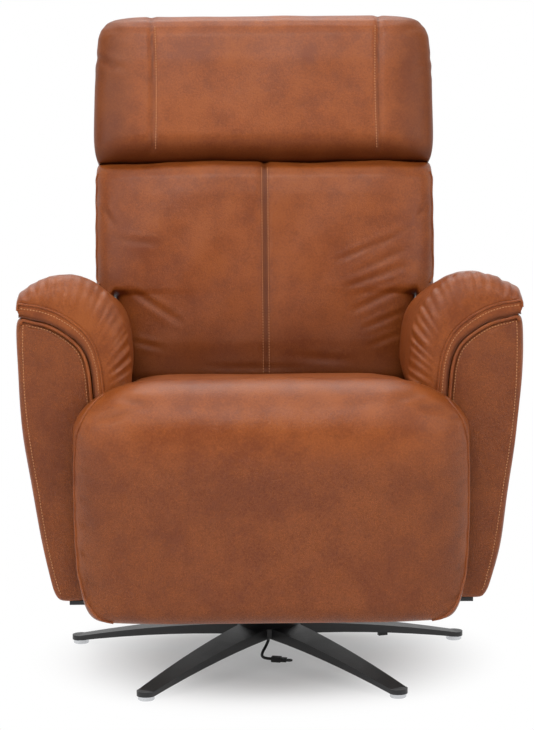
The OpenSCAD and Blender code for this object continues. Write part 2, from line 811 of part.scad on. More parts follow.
// Back: built upright in its own frame, then leaned back
board_side_gap = plate_gap;
side_plate_x = board_in_x - board_side_gap - lug_t / 2;
pivot_dy = back_pivot_y - back_y;
pivot_dz = back_pivot_z - back_z;
pivot_v = pivot_dy * cos(rake) - pivot_dz * sin(rake);
pivot_h = pivot_dy * sin(rake) + pivot_dz * cos(rake);
frame_v = back_cushion_t + soft_gap;
frame_t = 22;
shell_v = frame_v + frame_t;
upright_x = side_plate_x - lug_t / 2 - frame_t / 2;
frame_drop = 8;
web_t = 2;
frame_low_h = -40;

module on_back() {
    translate([0, back_y, back_z]) rotate([-rake, 0, 0]) children();
}
function back_world(v, h) = [
    back_y + v * cos(rake) + h * sin(rake), back_z + h * cos(rake) - v * sin(rake)
];

// Cushions of the back and headrest: level rings of front and rear points.
// Each ring takes its edge points as shares of its half width, and the rest in place.
edge_shares = [1, 0.985, 0.94, 0.87];
function ring_places(half, places) =
    let (
        inner = [for (i = [0 : len(places) - 1])
            min(places[i], half * (0.866 - 0.01 * i))],
        side = concat([for (s = edge_shares) s * half], inner)
    )
    concat([for (x = side) -x], [0], flipped(side));
function edge_drop(share) = 1 - rounding(pow(abs(share), 5));
function seam_drop(x, seams, depth) =
    max([for (s = seams) depth * max(0, 1 - abs(abs(x) - s) / seam_reach)]);
// The rear depth at x, where each cut is [from, to, depth]
function rear_depth(x, rear, cuts) =
    let (found = [for (c = cuts) if (abs(x) >= c[0] && abs(x) <= c[1]) c[2]])
    len(found) > 0 ? found[0] : rear;

// Ring at height h: front and rear depth, how far its edges are rounded, crown and seams
function level_ring(h, half, places, front, rear, edge, crown, seams, depth, cuts) =
    let (xs = ring_places(half, places))
    concat(
        [for (x = xs) [
            x,
            front + edge * edge_drop(x / half) - crown * (1 - pow(x / half, 2)) + seam_drop(x, seams, depth),
            h
        ]],
        [for (x = flipped(xs)) [x, rear_depth(x, rear, cuts), h]]
    );

seam_reach = 14;
seam_depth = 5;
back_edge_r = 46;
wrap_x = upright_x + frame_t / 2 + soft_gap;
back_crown = 9;
back_places = [wrap_x + over, wrap_x, 0.32 * back_wide_w, 0.185 * back_wide_w, seam_reach];
shoulder = shoulder_h / back_h;
// Stations: height share, half width (0 narrow, 1 wide), front set-back share, 1 where it wraps
back_station_shares = [
    [-0.06, 0, 0.5, 0], [-0.045, 0, 0.24, 0], [0, 0, 0.08, 0], [0.15, 0, 0, 0], [0.35, 0, 0, 0],
    [shoulder - 0.016, 0, 0, 0], [shoulder - 0.006, 0.02, 0, 0], [shoulder + 0.004, 0.93, 0, 0],
    [shoulder + 0.008, 0.94, 0, 1], [shoulder + 0.024, 0.97, 0, 1], [0.6, 1, 0, 1], [0.72, 1, 0, 1],
    [0.84, 1, 0, 1], [0.92, 0.995, 0.03, 1], [0.965, 0.97, 0.14, 1], [0.98, 0.95, 0.24, 1],
    [1, 0.86, 0.52, 1]
];

module back_cushion() {
    color(leather) on_back() skin([for (s = back_station_shares)
        let (
            half = between(back_narrow_w, back_wide_w, s[1]) / 2,
            room = back_cushion_t / 2,
            cuts = s[3] > 0 ? [[wrap_x + over / 2, back_wide_w, shell_v]] : []
        )
        level_ring(s[0] * back_h, half, back_places, s[2] * room, back_cushion_t,
            back_edge_r * (1 - s[2]), back_crown * (1 - s[2]), [0], seam_depth, cuts)
    ]);
}

module back_frame() {
    color(timber) on_back() {
        for (x = [-upright_x, upright_x]) translate([x - frame_t / 2, frame_v, frame_low_h])
            cube([frame_t, frame_t, back_h - frame_drop - frame_low_h]);
        for (h = [frame_low_h, shoulder_h, back_h - frame_drop - frame_t])
            translate([-upright_x + frame_t / 2, frame_v, h]) cube([2 * upright_x - frame_t, frame_t, frame_t]);
    }
}

web_w = 50;
web_count = 3;

module back_webbing() {
    first = frame_low_h + frame_t;
    room = shoulder_h - first;
    color(black) on_back() for (i = [0 : web_count - 1])
        translate([frame_t / 2 - upright_x, frame_v, first + (i + 0.5) * room / web_count - web_w / 2])
            cube([2 * upright_x - frame_t, web_t, web_w]);
}

side_plate_h = 70;
side_hub_r = 20;
side_top_r = 11;
side_low_r = 14;

module back_side_plates() {
    top = back_world(frame_v + frame_t / 2, side_plate_h);
    color(dark_steel) both_sides() difference() {
        plate_yz(side_plate_x, lug_t) {
            strip([back_pivot_y, back_pivot_z], top, side_hub_r, side_top_r);
            strip([back_pivot_y, back_pivot_z], back_tube_at, side_hub_r, side_low_r, false);
        }
        bar_x(side_plate_x, back_pivot_y, back_pivot_z, back_pin_r + pin_gap, 2 * lug_t);
        bar_x(side_plate_x, back_tube_at[0], back_tube_at[1], back_tube_r, 2 * lug_t);
    }
}

back_tube_r = 8;
back_tube_in = 32;
back_tube_at = [back_pivot_y, back_pivot_z] + (back_crank_r - back_tube_in) * dir_yz(back_crank_deg);
back_crank_at = [back_pivot_y, back_pivot_z] + back_crank_r * dir_yz(back_crank_deg);
back_link_play = 3.8;
back_lug_x = drive_x + lug_t + plate_gap;

module back_crank_tube() {
    color(dark_steel) {
        bar_x(0, back_tube_at[0], back_tube_at[1], back_tube_r, 2 * (side_plate_x + lug_t / 2));
        plate_yz(back_lug_x, lug_t) strip(back_tube_at, back_crank_at, back_tube_r + crank_rim, link_r);
        bar_x(drive_x, back_crank_at[0], back_crank_at[1], link_pin_r, 2 * lug_t + plate_gap);
    }
}

module back_pivot_pins() {
    run = board_t + board_side_gap + lug_t + over;
    color(steel) both_sides() {
        bar_x(box_w / 2 - run / 2, back_pivot_y, back_pivot_z, back_pin_r, run);
        bar_x(box_w / 2 - run - pin_head_t / 2, back_pivot_y, back_pivot_z, 1.6 * back_pin_r, pin_head_t);
    }
}

shell_side_gap = 14.5;
shell_narrow_w = 2 * (side_plate_x - lug_t / 2 - shell_side_gap);
shell_shares = [-1, -0.985, -0.94, -0.85, -0.6, -0.2, 0.2, 0.6, 0.85, 0.94, 0.985, 1];
// Outer back shell: a padded panel behind the frame, narrow between the arms
shell_station_shares = [
    [-0.34, -0.12, 0.6], [-0.32, -0.05, 0.3], [-0.28, 0, 0.1], [-0.1, 0.05, 0], [0.2, 0.05, 0],
    [shoulder - 0.056, 0.05, 0], [shoulder - 0.004, 0.1, 0], [shoulder + 0.004, 0.75, 0],
    [shoulder + 0.024, 0.95, 0], [0.6, 1, 0], [0.8, 1, 0],
    [0.94, 1, 0.05], [0.975, 0.97, 0.2], [0.99, 0.92, 0.45]
];

module back_shell() {
    color(leather_dark) on_back() skin([for (s = shell_station_shares)
        let (
            half = between(shell_narrow_w, back_wide_w, s[1]) / 2,
            rear = shell_v + shell_t * (1 - 0.6 * s[2])
        )
        shell_ring(s[0] * back_h, half, shell_v + soft_gap, rear)
    ]);
}

function shell_ring(h, half, front, rear) =
    let (xs = [for (c = shell_shares) c * half])
    concat(
        [for (x = xs) [x, front, h]],
        [for (x = flipped(xs)) [x, rear - 0.8 * (rear - front) * edge_drop(x / half), h]]
    );

// Headrest hinge: lugs from the frame's top rail reach forward to the hinge line
head_hinge_v = head_edge_r;
head_low_h = back_h + head_gap;
head_hinge_h = head_low_h + head_edge_r;
head_top_h = head_low_h + head_h;
head_lug_x = 130;
head_pin_r = 4;
head_hub_r = 11;
head_base_v = frame_v + frame_t / 2;
head_lug_low_r = 9;
head_lug_up = 13;
head_lug_low_h = head_low_h + head_lug_up;

module headrest_lugs() {
    color(dark_steel) on_back() both_sides() difference() {
        union() {
            plate_yz(head_lug_x, lug_t) {
                strip([head_hinge_v, head_hinge_h], [head_base_v, head_lug_low_h], head_hub_r, head_lug_low_r);
                translate([frame_v, back_h - frame_drop])
                    square([frame_t, head_lug_low_h - back_h + frame_drop]);
            }
        }
        bar_x(head_lug_x, head_hinge_v, head_hinge_h, head_pin_r, 2 * lug_t);
    }
}

module headrest_hinge_pins() {
    color(steel) on_back() both_sides()
        bar_x(head_lug_x + (lug_t + plate_gap) / 2, head_hinge_v, head_hinge_h, head_pin_r,
            2 * lug_t + plate_gap);
}

head_plate_x = head_lug_x + lug_t + plate_gap;
head_board_v = head_cushion_t + soft_gap;
head_board_t = 9;
head_board_low_share = 0.255;
head_board_top_share = 0.847;
head_strap_share = 0.4;
head_board_h = head_low_h + head_board_low_share * head_h;
head_board_top_h = head_low_h + head_board_top_share * head_h;
head_strap_w = 12;
head_strap_len = head_strap_share * head_h;
head_board_in = 56;
head_slot_gap = 13;
head_slot_skin = 16;
head_crown = 4;

module headrest_plates() {
    color(dark_steel) on_back() both_sides() difference() {
        plate_yz(head_plate_x, lug_t) {
            strip([head_hinge_v, head_hinge_h], [head_board_v - head_strap_w, head_board_h + head_strap_w],
                head_hub_r, 0.8 * head_strap_w);
            translate([head_board_v - head_strap_w, head_board_h]) square([head_strap_w, head_strap_len]);
        }
        bar_x(head_plate_x, head_hinge_v, head_hinge_h, head_pin_r + pin_gap, 2 * lug_t);
    }
}

module headrest_board() {
    color(timber) on_back() translate([head_board_in - head_w / 2, head_board_v, head_board_h])
        cube([head_w - 2 * head_board_in, head_board_t, head_board_top_h - head_board_h]);
}

// The headrest cushion is slotted from behind for the hinge's lugs and plates
head_slot_in = head_lug_x - lug_t;
head_slot_out = head_plate_x + lug_t;
head_slot_top_h = head_board_h + head_strap_len + 0.5 * head_strap_w;
head_wrap_x = head_w / 2 - head_board_in + 2 * over;
head_places = [
    head_wrap_x + over, head_wrap_x, head_seam_x + seam_reach, head_seam_x, head_seam_x - seam_reach,
    head_slot_out + over, head_slot_out, head_slot_in, head_slot_in - over, head_slot_in / 2
];
function head_slot_v(h) =
    let (from = head_hinge_h + head_slot_gap, to = head_board_h + 2 * head_strap_w)
    between(head_hinge_v - head_slot_gap, head_cushion_t - head_slot_skin,
        min(1, max(0, (h - from) / (to - from))));
function head_cuts(h) = concat(
    h <= head_slot_top_h ? [[head_slot_in - over / 2, head_slot_out + over / 2, head_slot_v(h)]] : [],
    [[h > head_board_top_h ? 0 : head_wrap_x + over / 2, head_w, head_shell_v]]
);

head_edge_steps = 6;
head_round = 36;
// Stations above the hinge: height share, half width share, rounding in from the front
head_station_shares = [
    [0.22, 1, 0], [0.34, 0.998, 0], [0.5, 0.995, 0], [0.674, 0.987, 0], [0.68, 0.987, 0],
    [0.845, 0.973, 0.05], [0.9, 0.955, 0.13], [0.95, 0.92, 0.27], [0.98, 0.87, 0.45],
    [1, 0.78, 0.7]
];

module headrest_cushion() {
    low = [for (i = [0 : head_edge_steps])
        let (
            a = between(84, 4, i / head_edge_steps),
            h = head_hinge_h - head_edge_r * sin(a),
            front = head_edge_r * (1 - cos(a)),
            full = 1 - front / head_edge_r
        )
        level_ring(h, head_w / 2 * (0.97 + 0.03 * full), head_places, front, head_cushion_t,
            head_round * full, 0, [head_seam_x], seam_depth * full, head_cuts(h))];
    high = [for (s = head_station_shares)
        let (h = head_low_h + s[0] * head_h)
        level_ring(h, s[1] * head_w / 2, head_places, s[2] * head_cushion_t / 2, head_cushion_t,
            head_round * (1 - s[2]), head_crown * (1 - s[2]), [head_seam_x], seam_depth * (1 - s[2]),
            head_cuts(h))];
    color(leather) on_back() skin(concat(low, high));
}

head_shell_v = head_board_v + head_board_t;
head_shell_shares = [
    [0.12, 0.94, 0.6], [0.135, 0.975, 0.3], [0.17, 0.995, 0.1], [0.35, 1, 0], [0.6, 0.99, 0],
    [0.8, 0.975, 0.05], [0.9, 0.955, 0.2], [0.95, 0.92, 0.4], [0.985, 0.85, 0.7]
];

module headrest_shell() {
    color(leather_dark) on_back() skin([for (s = head_shell_shares)
        shell_ring(head_low_h + s[0] * head_h, s[1] * head_w / 2, head_shell_v + soft_gap,
            head_shell_v + head_shell_t * (1 - 0.7 * s[2]))
    ]);
}

// Drives: a carriage on a rail pulls or pushes a crank through a link
knee_slide_rest = knee_crank_at[0] + sqrt(pow(knee_link_len, 2) - pow(knee_crank_at[1] - knee_slide_z, 2));
back_slide_rest = back_crank_at[0] - sqrt(pow(back_link_len, 2) - pow(back_crank_at[1] - back_slide_z, 2));
slide_block = 36;
slide_neck_len = 24;
slide_lug_over = 8;
knee_rail_front = front_rail_y + rail_wall;
knee_rail_rear = knee_slide_rest + 0.9 * slide_block;
back_rail_front = back_slide_rest - 2.2 * slide_block;
back_rail_rear = rear_tube_y - tube_w / 2 - lip;

module drive_rail(x, front, rear, top_z) {
    color(steel) translate([x, rear, top_z - rail_h]) rotate([90, 0, 0]) linear_extrude(rear - front)
        difference() {
            translate([-rail_w / 2, 0]) square([rail_w, rail_h]);
            translate([rail_wall - rail_w / 2, rail_wall])
                square([rail_w - 2 * rail_wall, rail_h - 2 * rail_wall]);
            translate([lip + rail_wall - rail_w / 2, rail_wall])
                square([rail_w - 2 * rail_wall - 2 * lip, rail_h]);
        }
}

// The block in the rail, its neck through the slot, and the lug beside the link
module carriage(x, y, pin_z, top_z, lug_x) {
    inner = rail_w - 2 * rail_wall - 2 * plate_gap;
    neck = rail_w - 2 * rail_wall - 2 * lip - 2 * plate_gap;
    left = min(x - neck / 2, lug_x - lug_t / 2);
    color(black) translate([0, y, 0]) difference() {
        union() {
            translate([x - inner / 2, -slide_block / 2, top_z - rail_h + rail_wall + plate_gap])
                cube([inner, slide_block, rail_h - 2 * rail_wall - 2 * plate_gap]);
            translate([x - neck / 2, -slide_neck_len / 2, top_z - rail_h / 2])
                cube([neck, slide_neck_len, rail_h / 2 + pin_head_t]);
            translate([left, -slide_neck_len / 2, top_z + plate_gap])
                cube([x + neck / 2 - left, slide_neck_len, pin_head_t]);
            translate([lug_x - lug_t / 2, -slide_neck_len / 2, top_z + plate_gap])
                cube([lug_t, slide_neck_len, pin_z - top_z + slide_lug_over]);
        }
        bar_x(lug_x, 0, pin_z, link_pin_r, 2 * lug_t);
    }
}

rail_drop = 12;
module footrest_drive_rail() {
    drive_rail(-drive_x, knee_rail_front, knee_rail_rear, knee_slide_z - rail_drop);
}
module back_drive_rail() {
    drive_rail(drive_x, back_rail_front, back_rail_rear, back_slide_z - rail_drop);
}
module footrest_carriage() {
    carriage(-drive_x, knee_slide_rest, knee_slide_z, knee_slide_z - rail_drop, knee_crank_x);
}
module back_carriage() {
    lug = drive_x - lug_t - plate_gap;
    carriage(drive_x, back_slide_rest, back_slide_z, back_slide_z - rail_drop, lug);
    color(steel) bar_x((lug + drive_x) / 2, back_slide_rest, back_slide_z, link_pin_r, 2 * lug_t + plate_gap);
}

module drive_link(x, from, to, end_play) {
    color(dark_steel) difference() {
        plate_yz(x, lug_t) strip(from, to, link_r, link_r + end_play / 2);
        bar_x(x, from[0], from[1], link_pin_r + pin_gap, 2 * lug_t);
        bar_x(x, to[0], to[1], link_pin_r + end_play, 2 * lug_t);
    }
}

module footrest_link() {
    drive_link(knee_link_x, [knee_slide_rest, knee_slide_z], knee_crank_at, pin_gap);
}
module back_link() {
    drive_link(drive_x, [back_slide_rest, back_slide_z], back_crank_at, back_link_play);
}

motor_r = 21;
gear_len = 52;
motor_len = 76;
gear_wall = 3;

module drive_motor(x, y, z, toward) {
    color(black) {
        translate([x - motor_r - gear_wall, toward > 0 ? y : y - gear_len, z - motor_r - gear_wall])
            cube([2 * (motor_r + gear_wall), gear_len, 2 * (motor_r + gear_wall)]);
        translate([x, y + toward * gear_len, z]) rotate([-90 * toward, 0, 0])
            cylinder(r = motor_r, h = motor_len, $fn = fine);
    }
}

module footrest_motor() {
    drive_motor(-drive_x, knee_rail_rear, knee_slide_z - rail_drop - rail_h / 2, 1);
}
module back_motor() {
    drive_motor(drive_x, back_rail_front, back_slide_z - rail_drop - rail_h / 2 + rail_h / 4, -1);
}

module drive_brackets() {
    knee_low = knee_slide_z - rail_drop - rail_h;
    back_low = back_slide_z - rail_drop - rail_h;
    motor_low = knee_slide_z - rail_drop - rail_h / 2 - motor_r - gear_wall;
    run = 0.85 * gear_len;
    color(dark_steel) {
        translate([-drive_x - rail_w / 2, front_tube_y - tube_w / 2, tube_z + tube_w])
            cube([rail_w, tube_w, knee_low - tube_z - tube_w]);
        translate([-drive_x - rail_w / 2, knee_rail_rear + lip, plate_top_z])
            cube([rail_w, run, motor_low - plate_top_z]);
        translate([drive_x - rail_w / 2, back_rail_front + lip, plate_top_z])
            cube([rail_w, run, back_low - plate_top_z]);
    }
}

box_size = [42, 120, 60];
box_y = -110;

module control_box() {
    color(black) translate([board_in_x - box_size[0], box_y, board_z + 2 * tube_w]) cube(box_size);
}

// Switch: a plate let into the outer face of the left arm, with four sprung buttons
button_pitch = 17.5;
button_proud = 2;
function button_y(i) = switch_y + (i - 1.5) * button_pitch;
switch_proud = 1;
switch_face_x = arm_out_x + switch_proud;

module switch_housing() {
    t = switch_depth + switch_proud;
    color(black) difference() {
        plate_yz(t / 2 - switch_face_x, t) switch_outline(-soft_gap / 4);
        for (i = [0 : 3])
            bar_x(-arm_out_x, button_y(i), switch_z, (button_d + plate_gap) / 2,
                2 * (switch_depth - switch_wall));
    }
}

module button(i) {
    depth = switch_depth - switch_wall - button_travel - plate_gap;
    color(steel) bar_x(-(switch_face_x - depth + (depth + button_proud) / 2), button_y(i), switch_z,
        button_d / 2, depth + button_proud);
}
module footrest_up_button() { button(0); }
module footrest_down_button() { button(1); }
module back_down_button() { button(2); }
module back_up_button() { button(3); }

// Power lead: down out of the column, then along the floor to its connector
grommet_lip = 3;
lead_points = [
    [0, 0, 41], [0, 0, 34], [-0.5, 0, 29.5], [-1.7, -0.4, 25], [-3.5, -1.3, 21], [-5.6, -3, 17],
    [-7.7, -5.3, 13.7], [-9.7, -8.4, 11], [-11.2, -12, 8.5], [-12.1, -16.2, 6.7],
    [-12.1, -20.7, 5.5], [-11.3, -25.1, 4.7], [-9.7, -29.5, 4.4], [-7.3, -33.7, 4.3],
    [-4.1, -37.2, 4.4], [-0.2, -39.8, 4.5], [4, -41, 4.5]
];
connector_turn = -16;
connector_w = 11;
connector_h = 9;
hook_r = 6;
hook_t = 2.4;
clip_deg = 18;
clip_r = 210;
cable_clip_w = 8;

module lead_grommet() {
    color(black) translate([0, 0, hub_low_z - grommet_lip]) difference() {
        union() {
            cylinder(r = column_bore_r + grommet_lip, h = grommet_lip, $fn = fine);
            cylinder(r = column_bore_r, h = 4 * grommet_lip, $fn = fine);
        }
        translate([0, 0, -over]) cylinder(d = lead_d + 2 * soft_gap, h = 6 * grommet_lip, $fn = fine);
    }
}

lead_sides = 8;
function lead_way(i) = unit(lead_points[min(i + 1, len(lead_points) - 1)] - lead_points[max(i - 1, 0)]);
function lead_ring(i) =
    let (
        way = lead_way(i),
        side = unit(cross(way, [1, 0, 1])),
        up = cross(way, side)
    )
    [for (k = [0 : lead_sides - 1])
        lead_points[i] + lead_d / 2 * (cos(k * 360 / lead_sides) * side + sin(k * 360 / lead_sides) * up)];

module power_lead() {
    color(black) skin([for (i = [0 : len(lead_points) - 1]) lead_ring(i)]);
}

module lead_connector() {
    last = lead_points[len(lead_points) - 1];
    color(black) translate([last[0], last[1], 0]) rotate(connector_turn) {
        translate([0, -connector_w / 2, 0]) cube([connector_len * 0.62, connector_w, connector_h]);
        translate([connector_len * 0.62, -connector_w * 0.4, connector_h * 0.1])
            cube([connector_len * 0.38, connector_w * 0.8, connector_h * 0.75]);
        translate([connector_len + 0.7 * hook_r, 0, connector_h * 0.3]) difference() {
            cylinder(r = hook_r, h = hook_t, $fn = fine);
            translate([0, 0, -over]) cylinder(r = 0.6 * hook_r, h = hook_t + 2 * over, $fn = fine);
        }
    }
}

module cable_clip() {
    low = arm_under((clip_r + cable_clip_w) / foot_r) - cable_clip_w;
    color(black) rotate(clip_deg) translate([clip_r - cable_clip_w, -cable_clip_w / 2, low])
        cube([2 * cable_clip_w, cable_clip_w, cable_clip_w]);
}

star_base();
star_glides();
swivel_thrust_ring();
lead_grommet();
power_lead();
lead_connector();
cable_clip();
swivel_socket();
swivel_plate();
plate_bolts();
base_rails();
cross_tubes();
side_board_left();
side_board_right();
front_seat_rail();
rear_seat_rail();
seat_springs();
spring_clips();
seat_cushion();
arm_body_left();
arm_body_right();
arm_pillow_left();
arm_pillow_right();
arm_foot_blocks();
arm_bolts();
rear_panel();
footrest_lugs();
footrest_hinge_pins();
back_pivot_pins();
footrest_drive_rail();
footrest_motor();
back_drive_rail();
back_motor();
drive_brackets();
control_box();
switch_housing();
footrest_up_button();
footrest_down_button();
back_down_button();
back_up_button();
footrest_carriage();
footrest_link();
back_carriage();
back_link();
footrest_arms();
footrest_drive_tube();
footrest_board();
footrest_pad();
back_side_plates();
back_crank_tube();
back_frame();
back_webbing();
back_cushion();
back_shell();
headrest_lugs();
headrest_hinge_pins();
headrest_plates();
headrest_board();
headrest_cushion();
headrest_shell();
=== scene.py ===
"""Looks of the star base swivel recliner: leather covers, sewing, finishes and studio."""
import json
import math

import bmesh
import bpy
import numpy as np
from mathutils import Matrix, Vector


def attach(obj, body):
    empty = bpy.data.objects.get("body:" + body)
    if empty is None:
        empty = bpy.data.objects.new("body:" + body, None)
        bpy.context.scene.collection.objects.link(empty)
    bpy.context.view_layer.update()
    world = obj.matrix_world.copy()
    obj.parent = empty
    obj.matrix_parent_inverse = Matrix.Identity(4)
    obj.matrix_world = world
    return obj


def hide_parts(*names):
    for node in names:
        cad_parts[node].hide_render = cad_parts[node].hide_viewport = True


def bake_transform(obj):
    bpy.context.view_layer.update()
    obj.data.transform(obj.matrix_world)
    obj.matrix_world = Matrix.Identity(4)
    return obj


bl_info = {
    "name": "Star base swivel recliner",
    "version": (1, 0, 0),
    "blender": (4, 5, 0),
    "location": "3D View > Sidebar > Recliner",
    "description": "Upholstery, sewing, finishes and studio of a star base swivel recliner",
    "category": "Object",
}

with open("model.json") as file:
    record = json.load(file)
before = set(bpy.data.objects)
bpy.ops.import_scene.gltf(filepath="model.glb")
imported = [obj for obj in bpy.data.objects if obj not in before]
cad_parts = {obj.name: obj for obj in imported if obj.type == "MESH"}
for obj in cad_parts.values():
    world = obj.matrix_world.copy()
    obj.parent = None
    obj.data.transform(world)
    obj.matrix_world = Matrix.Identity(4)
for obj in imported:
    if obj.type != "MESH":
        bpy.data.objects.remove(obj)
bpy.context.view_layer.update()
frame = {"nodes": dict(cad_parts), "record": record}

# The chair's main places, in metres. The knee is the footrest's hinge line, in Y and Z.
KNEE, ROLL_R = (-0.320, 0.440), 0.085
HALF_W, CROWN_HALF = 0.312, 0.150
ARM_GAP_Y = -0.286
SEAT_HALF, SEAT_REAR, SEAT_LOW = 0.219, 0.095, 0.3585
PAD_LOW, PAD_WIDE, PAD_REAR = 0.146, 0.380, -0.3125
RAKE = math.radians(11)
BACK_Y, BACK_Z = 0.100, 0.475
ARM_IN, ARM_OUT = 0.272, 0.401
ARM_LOW, ARM_TOP = 0.161, 0.620
ARM_FRONT, ARM_REAR = -0.280, 0.275
PILLOW_TOP, PILLOW_REAR, PILLOW_RISE = 0.688, 0.098, 0.148
SIDES = ((-1, "left"), (1, "right"))

# Lines over the arms, in shares of an arm's width and height
ARM_OUTLINE = [
    (0, 0.012), (0.3, 0), (0.5, 0), (0.56, 0.012), (0.62, 0.05), (0.74, 0.2), (0.855, 0.42),
    (0.94, 0.58), (0.985, 0.715), (1, 0.84), (1, 0.93), (0.99, 0.975), (0.965, 0.997), (0.93, 1),
]
ARM_CREST = [
    (0.82, 0.992), (0.68, 0.984), (0.55, 0.971), (0.42, 0.95), (0.3, 0.925), (0.2, 0.895),
    (0.13, 0.855), (0.09, 0.805), (0.075, 0.76), (0.062, 0.715), (0.05, 0.64),
]
PILLOW_OUTER = [
    (0.955, 1.010), (0.998, 1.036), (0.985, 1.064), (0.93, 1.086), (0.66, 1.126), (0.45, 1.139),
    (0.24, 1.135), (0.03, 1.108), (-0.16, 1.058), (-0.28, 1.0), (-0.352, 0.93), (-0.4, 0.8),
    (-0.37, 0.73), (-0.29, 0.67),
]
PILLOW_TUCK = [(0.006, 0.668), (-0.06, 0.65)]
# The switch's place, on the floor of its recess
SWITCH = (-0.3885, -0.110, 0.530)

# The lead's route in millimetres, from the grommet down to its connector
LEAD_ROUTE = [
    (0, 0, 41), (0, 0, 34), (-0.5, 0, 29.5), (-1.7, -0.4, 25), (-3.5, -1.3, 21), (-5.6, -3, 17),
    (-7.7, -5.3, 13.7), (-9.7, -8.4, 11), (-11.2, -12, 8.5), (-12.1, -16.2, 6.7),
    (-12.1, -20.7, 5.5), (-11.3, -25.1, 4.7), (-9.7, -29.5, 4.4), (-7.3, -33.4, 4.3),
    (-4.1, -36.7, 4.4), (-0.3, -39.3, 4.5), (4, -41, 4.6),
]


# Settings a user would change

class ReclinerLeather(bpy.types.PropertyGroup):
    """Colours and grain of the leather."""
    light: bpy.props.FloatVectorProperty(
        name="Light tone", description="Leather where it is rubbed", subtype="COLOR",
        default=(0.300, 0.078, 0.015), min=0, max=1)
    # The dark tone is the mottle's darker end and also the colour of the painted shade in folds and seams.
    dark: bpy.props.FloatVectorProperty(
        name="Dark tone", description="Leather in folds and seams", subtype="COLOR",
        default=(0.135, 0.030, 0.006), min=0, max=1)
    thread: bpy.props.FloatVectorProperty(
        name="Thread", description="Sewing thread", subtype="COLOR",
        default=(0.44, 0.19, 0.075), min=0, max=1)
    pebble: bpy.props.FloatProperty(
        name="Pebble size", description="Width of one pebble of the grain", unit="LENGTH",
        default=0.0019, min=0.0008, max=0.004)
    roughness: bpy.props.FloatProperty(
        name="Roughness", description="Roughness of the finish", subtype="FACTOR",
        default=0.32, min=0.2, max=0.8)


class ReclinerSewing(bpy.types.PropertyGroup):
    """Piping and stitches."""
    piping: bpy.props.FloatProperty(
        name="Piping radius", description="Radius of the piping", unit="LENGTH",
        default=0.0024, min=0.001, max=0.005)
    pitch: bpy.props.FloatProperty(
        name="Stitch pitch", description="Distance from stitch to stitch", unit="LENGTH",
        default=0.0048, min=0.003, max=0.01)
    stitch: bpy.props.FloatProperty(
        name="Stitch length", description="Length of one stitch", unit="LENGTH",
        default=0.0036, min=0.002, max=0.008)


class ReclinerStudio(bpy.types.PropertyGroup):
    """Lamps and backdrop."""
    key: bpy.props.FloatProperty(
        name="Key lamp", description="Power of the large lamp above the front", unit="POWER",
        default=78, min=0, max=500)
    side: bpy.props.FloatProperty(
        name="Side lamps", description="Power of each side lamp", unit="POWER",
        default=28, min=0, max=200)
    sky: bpy.props.FloatProperty(
        name="Ambient light", description="Strength of the light from all round",
        default=0.30, min=0, max=2)


# Mesh helpers

def only(obj):
    """Selects one object and makes it active."""
    bpy.ops.object.select_all(action="DESELECT")
    obj.select_set(True)
    bpy.context.view_layer.objects.active = obj


def linked(name, data):
    """A new object of the scene that shows the data."""
    obj = bpy.data.objects.new(name, data)
    bpy.context.scene.collection.objects.link(obj)
    return obj


def made(name, verts, faces):
    """A new mesh object with its faces pointing outwards."""
    mesh = bpy.data.meshes.new(name)
    mesh.from_pydata([tuple(map(float, v)) for v in verts], [], faces)
    work = bmesh.new()
    work.from_mesh(mesh)
    bmesh.ops.recalc_face_normals(work, faces=work.faces)
    work.to_mesh(mesh)
    work.free()
    mesh.validate()
    mesh.polygons.foreach_set("use_smooth", [True] * len(mesh.polygons))
    return linked(name, mesh)


def unit(way):
    """Ways of length one."""
    return way / np.maximum(np.linalg.norm(way, axis=-1, keepdims=True), 1e-9)


def wall(count, n):
    """Quads between count rings of n points each."""
    return [(i * n + j, i * n + (j + 1) % n, (i + 1) * n + (j + 1) % n, (i + 1) * n + j)
            for i in range(count - 1) for j in range(n)]


def cover(name, rings, columns, puff=(0, 0)):
    """A closed cover through rings, whose point i faces its point -1-i. Each end is a grid
    between facing points that stands proud in its middle by its puff."""
    rings = np.asarray(rings, float)
    count, n = rings.shape[:2]
    half = n // 2
    verts = [v for ring in rings for v in ring]
    faces = wall(count, n)
    for at, inward, cols, bulge in ((0, 1, columns[0], puff[0]),
                                    (count - 1, count - 2, columns[1], puff[1])):
        out = unit(rings[at].mean(0) - rings[inward].mean(0))
        rows = []
        for j in range(half):
            a, b = rings[at][j], rings[at][n - 1 - j]
            row = [at * n + j]
            if 0 < j < half - 1:
                for c in range(1, cols + 1):
                    t = c / (cols + 1)
                    rise = math.sin(math.pi * t) * math.sin(math.pi * j / (half - 1)) ** 0.5
                    row.append(len(verts))
                    verts.append(a + (b - a) * t + out * bulge * rise)
            rows.append(row + [at * n + n - 1 - j])
        for j in range(1, half - 2):
            faces += [(rows[j][c], rows[j][c + 1], rows[j + 1][c + 1], rows[j + 1][c])
                      for c in range(cols + 1)]
        faces.append(rows[0] + rows[1][::-1])
        faces.append(rows[-1] + rows[-2][::-1])
    return made(name, verts, faces)


def smooth_line(points, count):
    """Evenly spaced points on the smooth curve through the given ones."""
    p = np.asarray(points, float)
    q = np.vstack([2 * p[:1] - p[1:2], p, 2 * p[-1:] - p[-2:-1]])
    fine = []
    for i in range(len(p) - 1):
        a, b, c, d = q[i:i + 4]
        for u in np.linspace(0, 1, 12, endpoint=False):
            fine.append(0.5 * (2 * b + (c - a) * u + (2 * a - 5 * b + 4 * c - d) * u * u
                               + (3 * b - a - 3 * c + d) * u ** 3))
    fine = np.vstack([fine, p[-1:]])
    run = np.r_[0, np.cumsum(np.linalg.norm(np.diff(fine, axis=0), axis=1))]
    at = np.linspace(0, run[-1], count)
    return np.stack([np.interp(at, run, fine[:, k]) for k in range(p.shape[1])], 1)


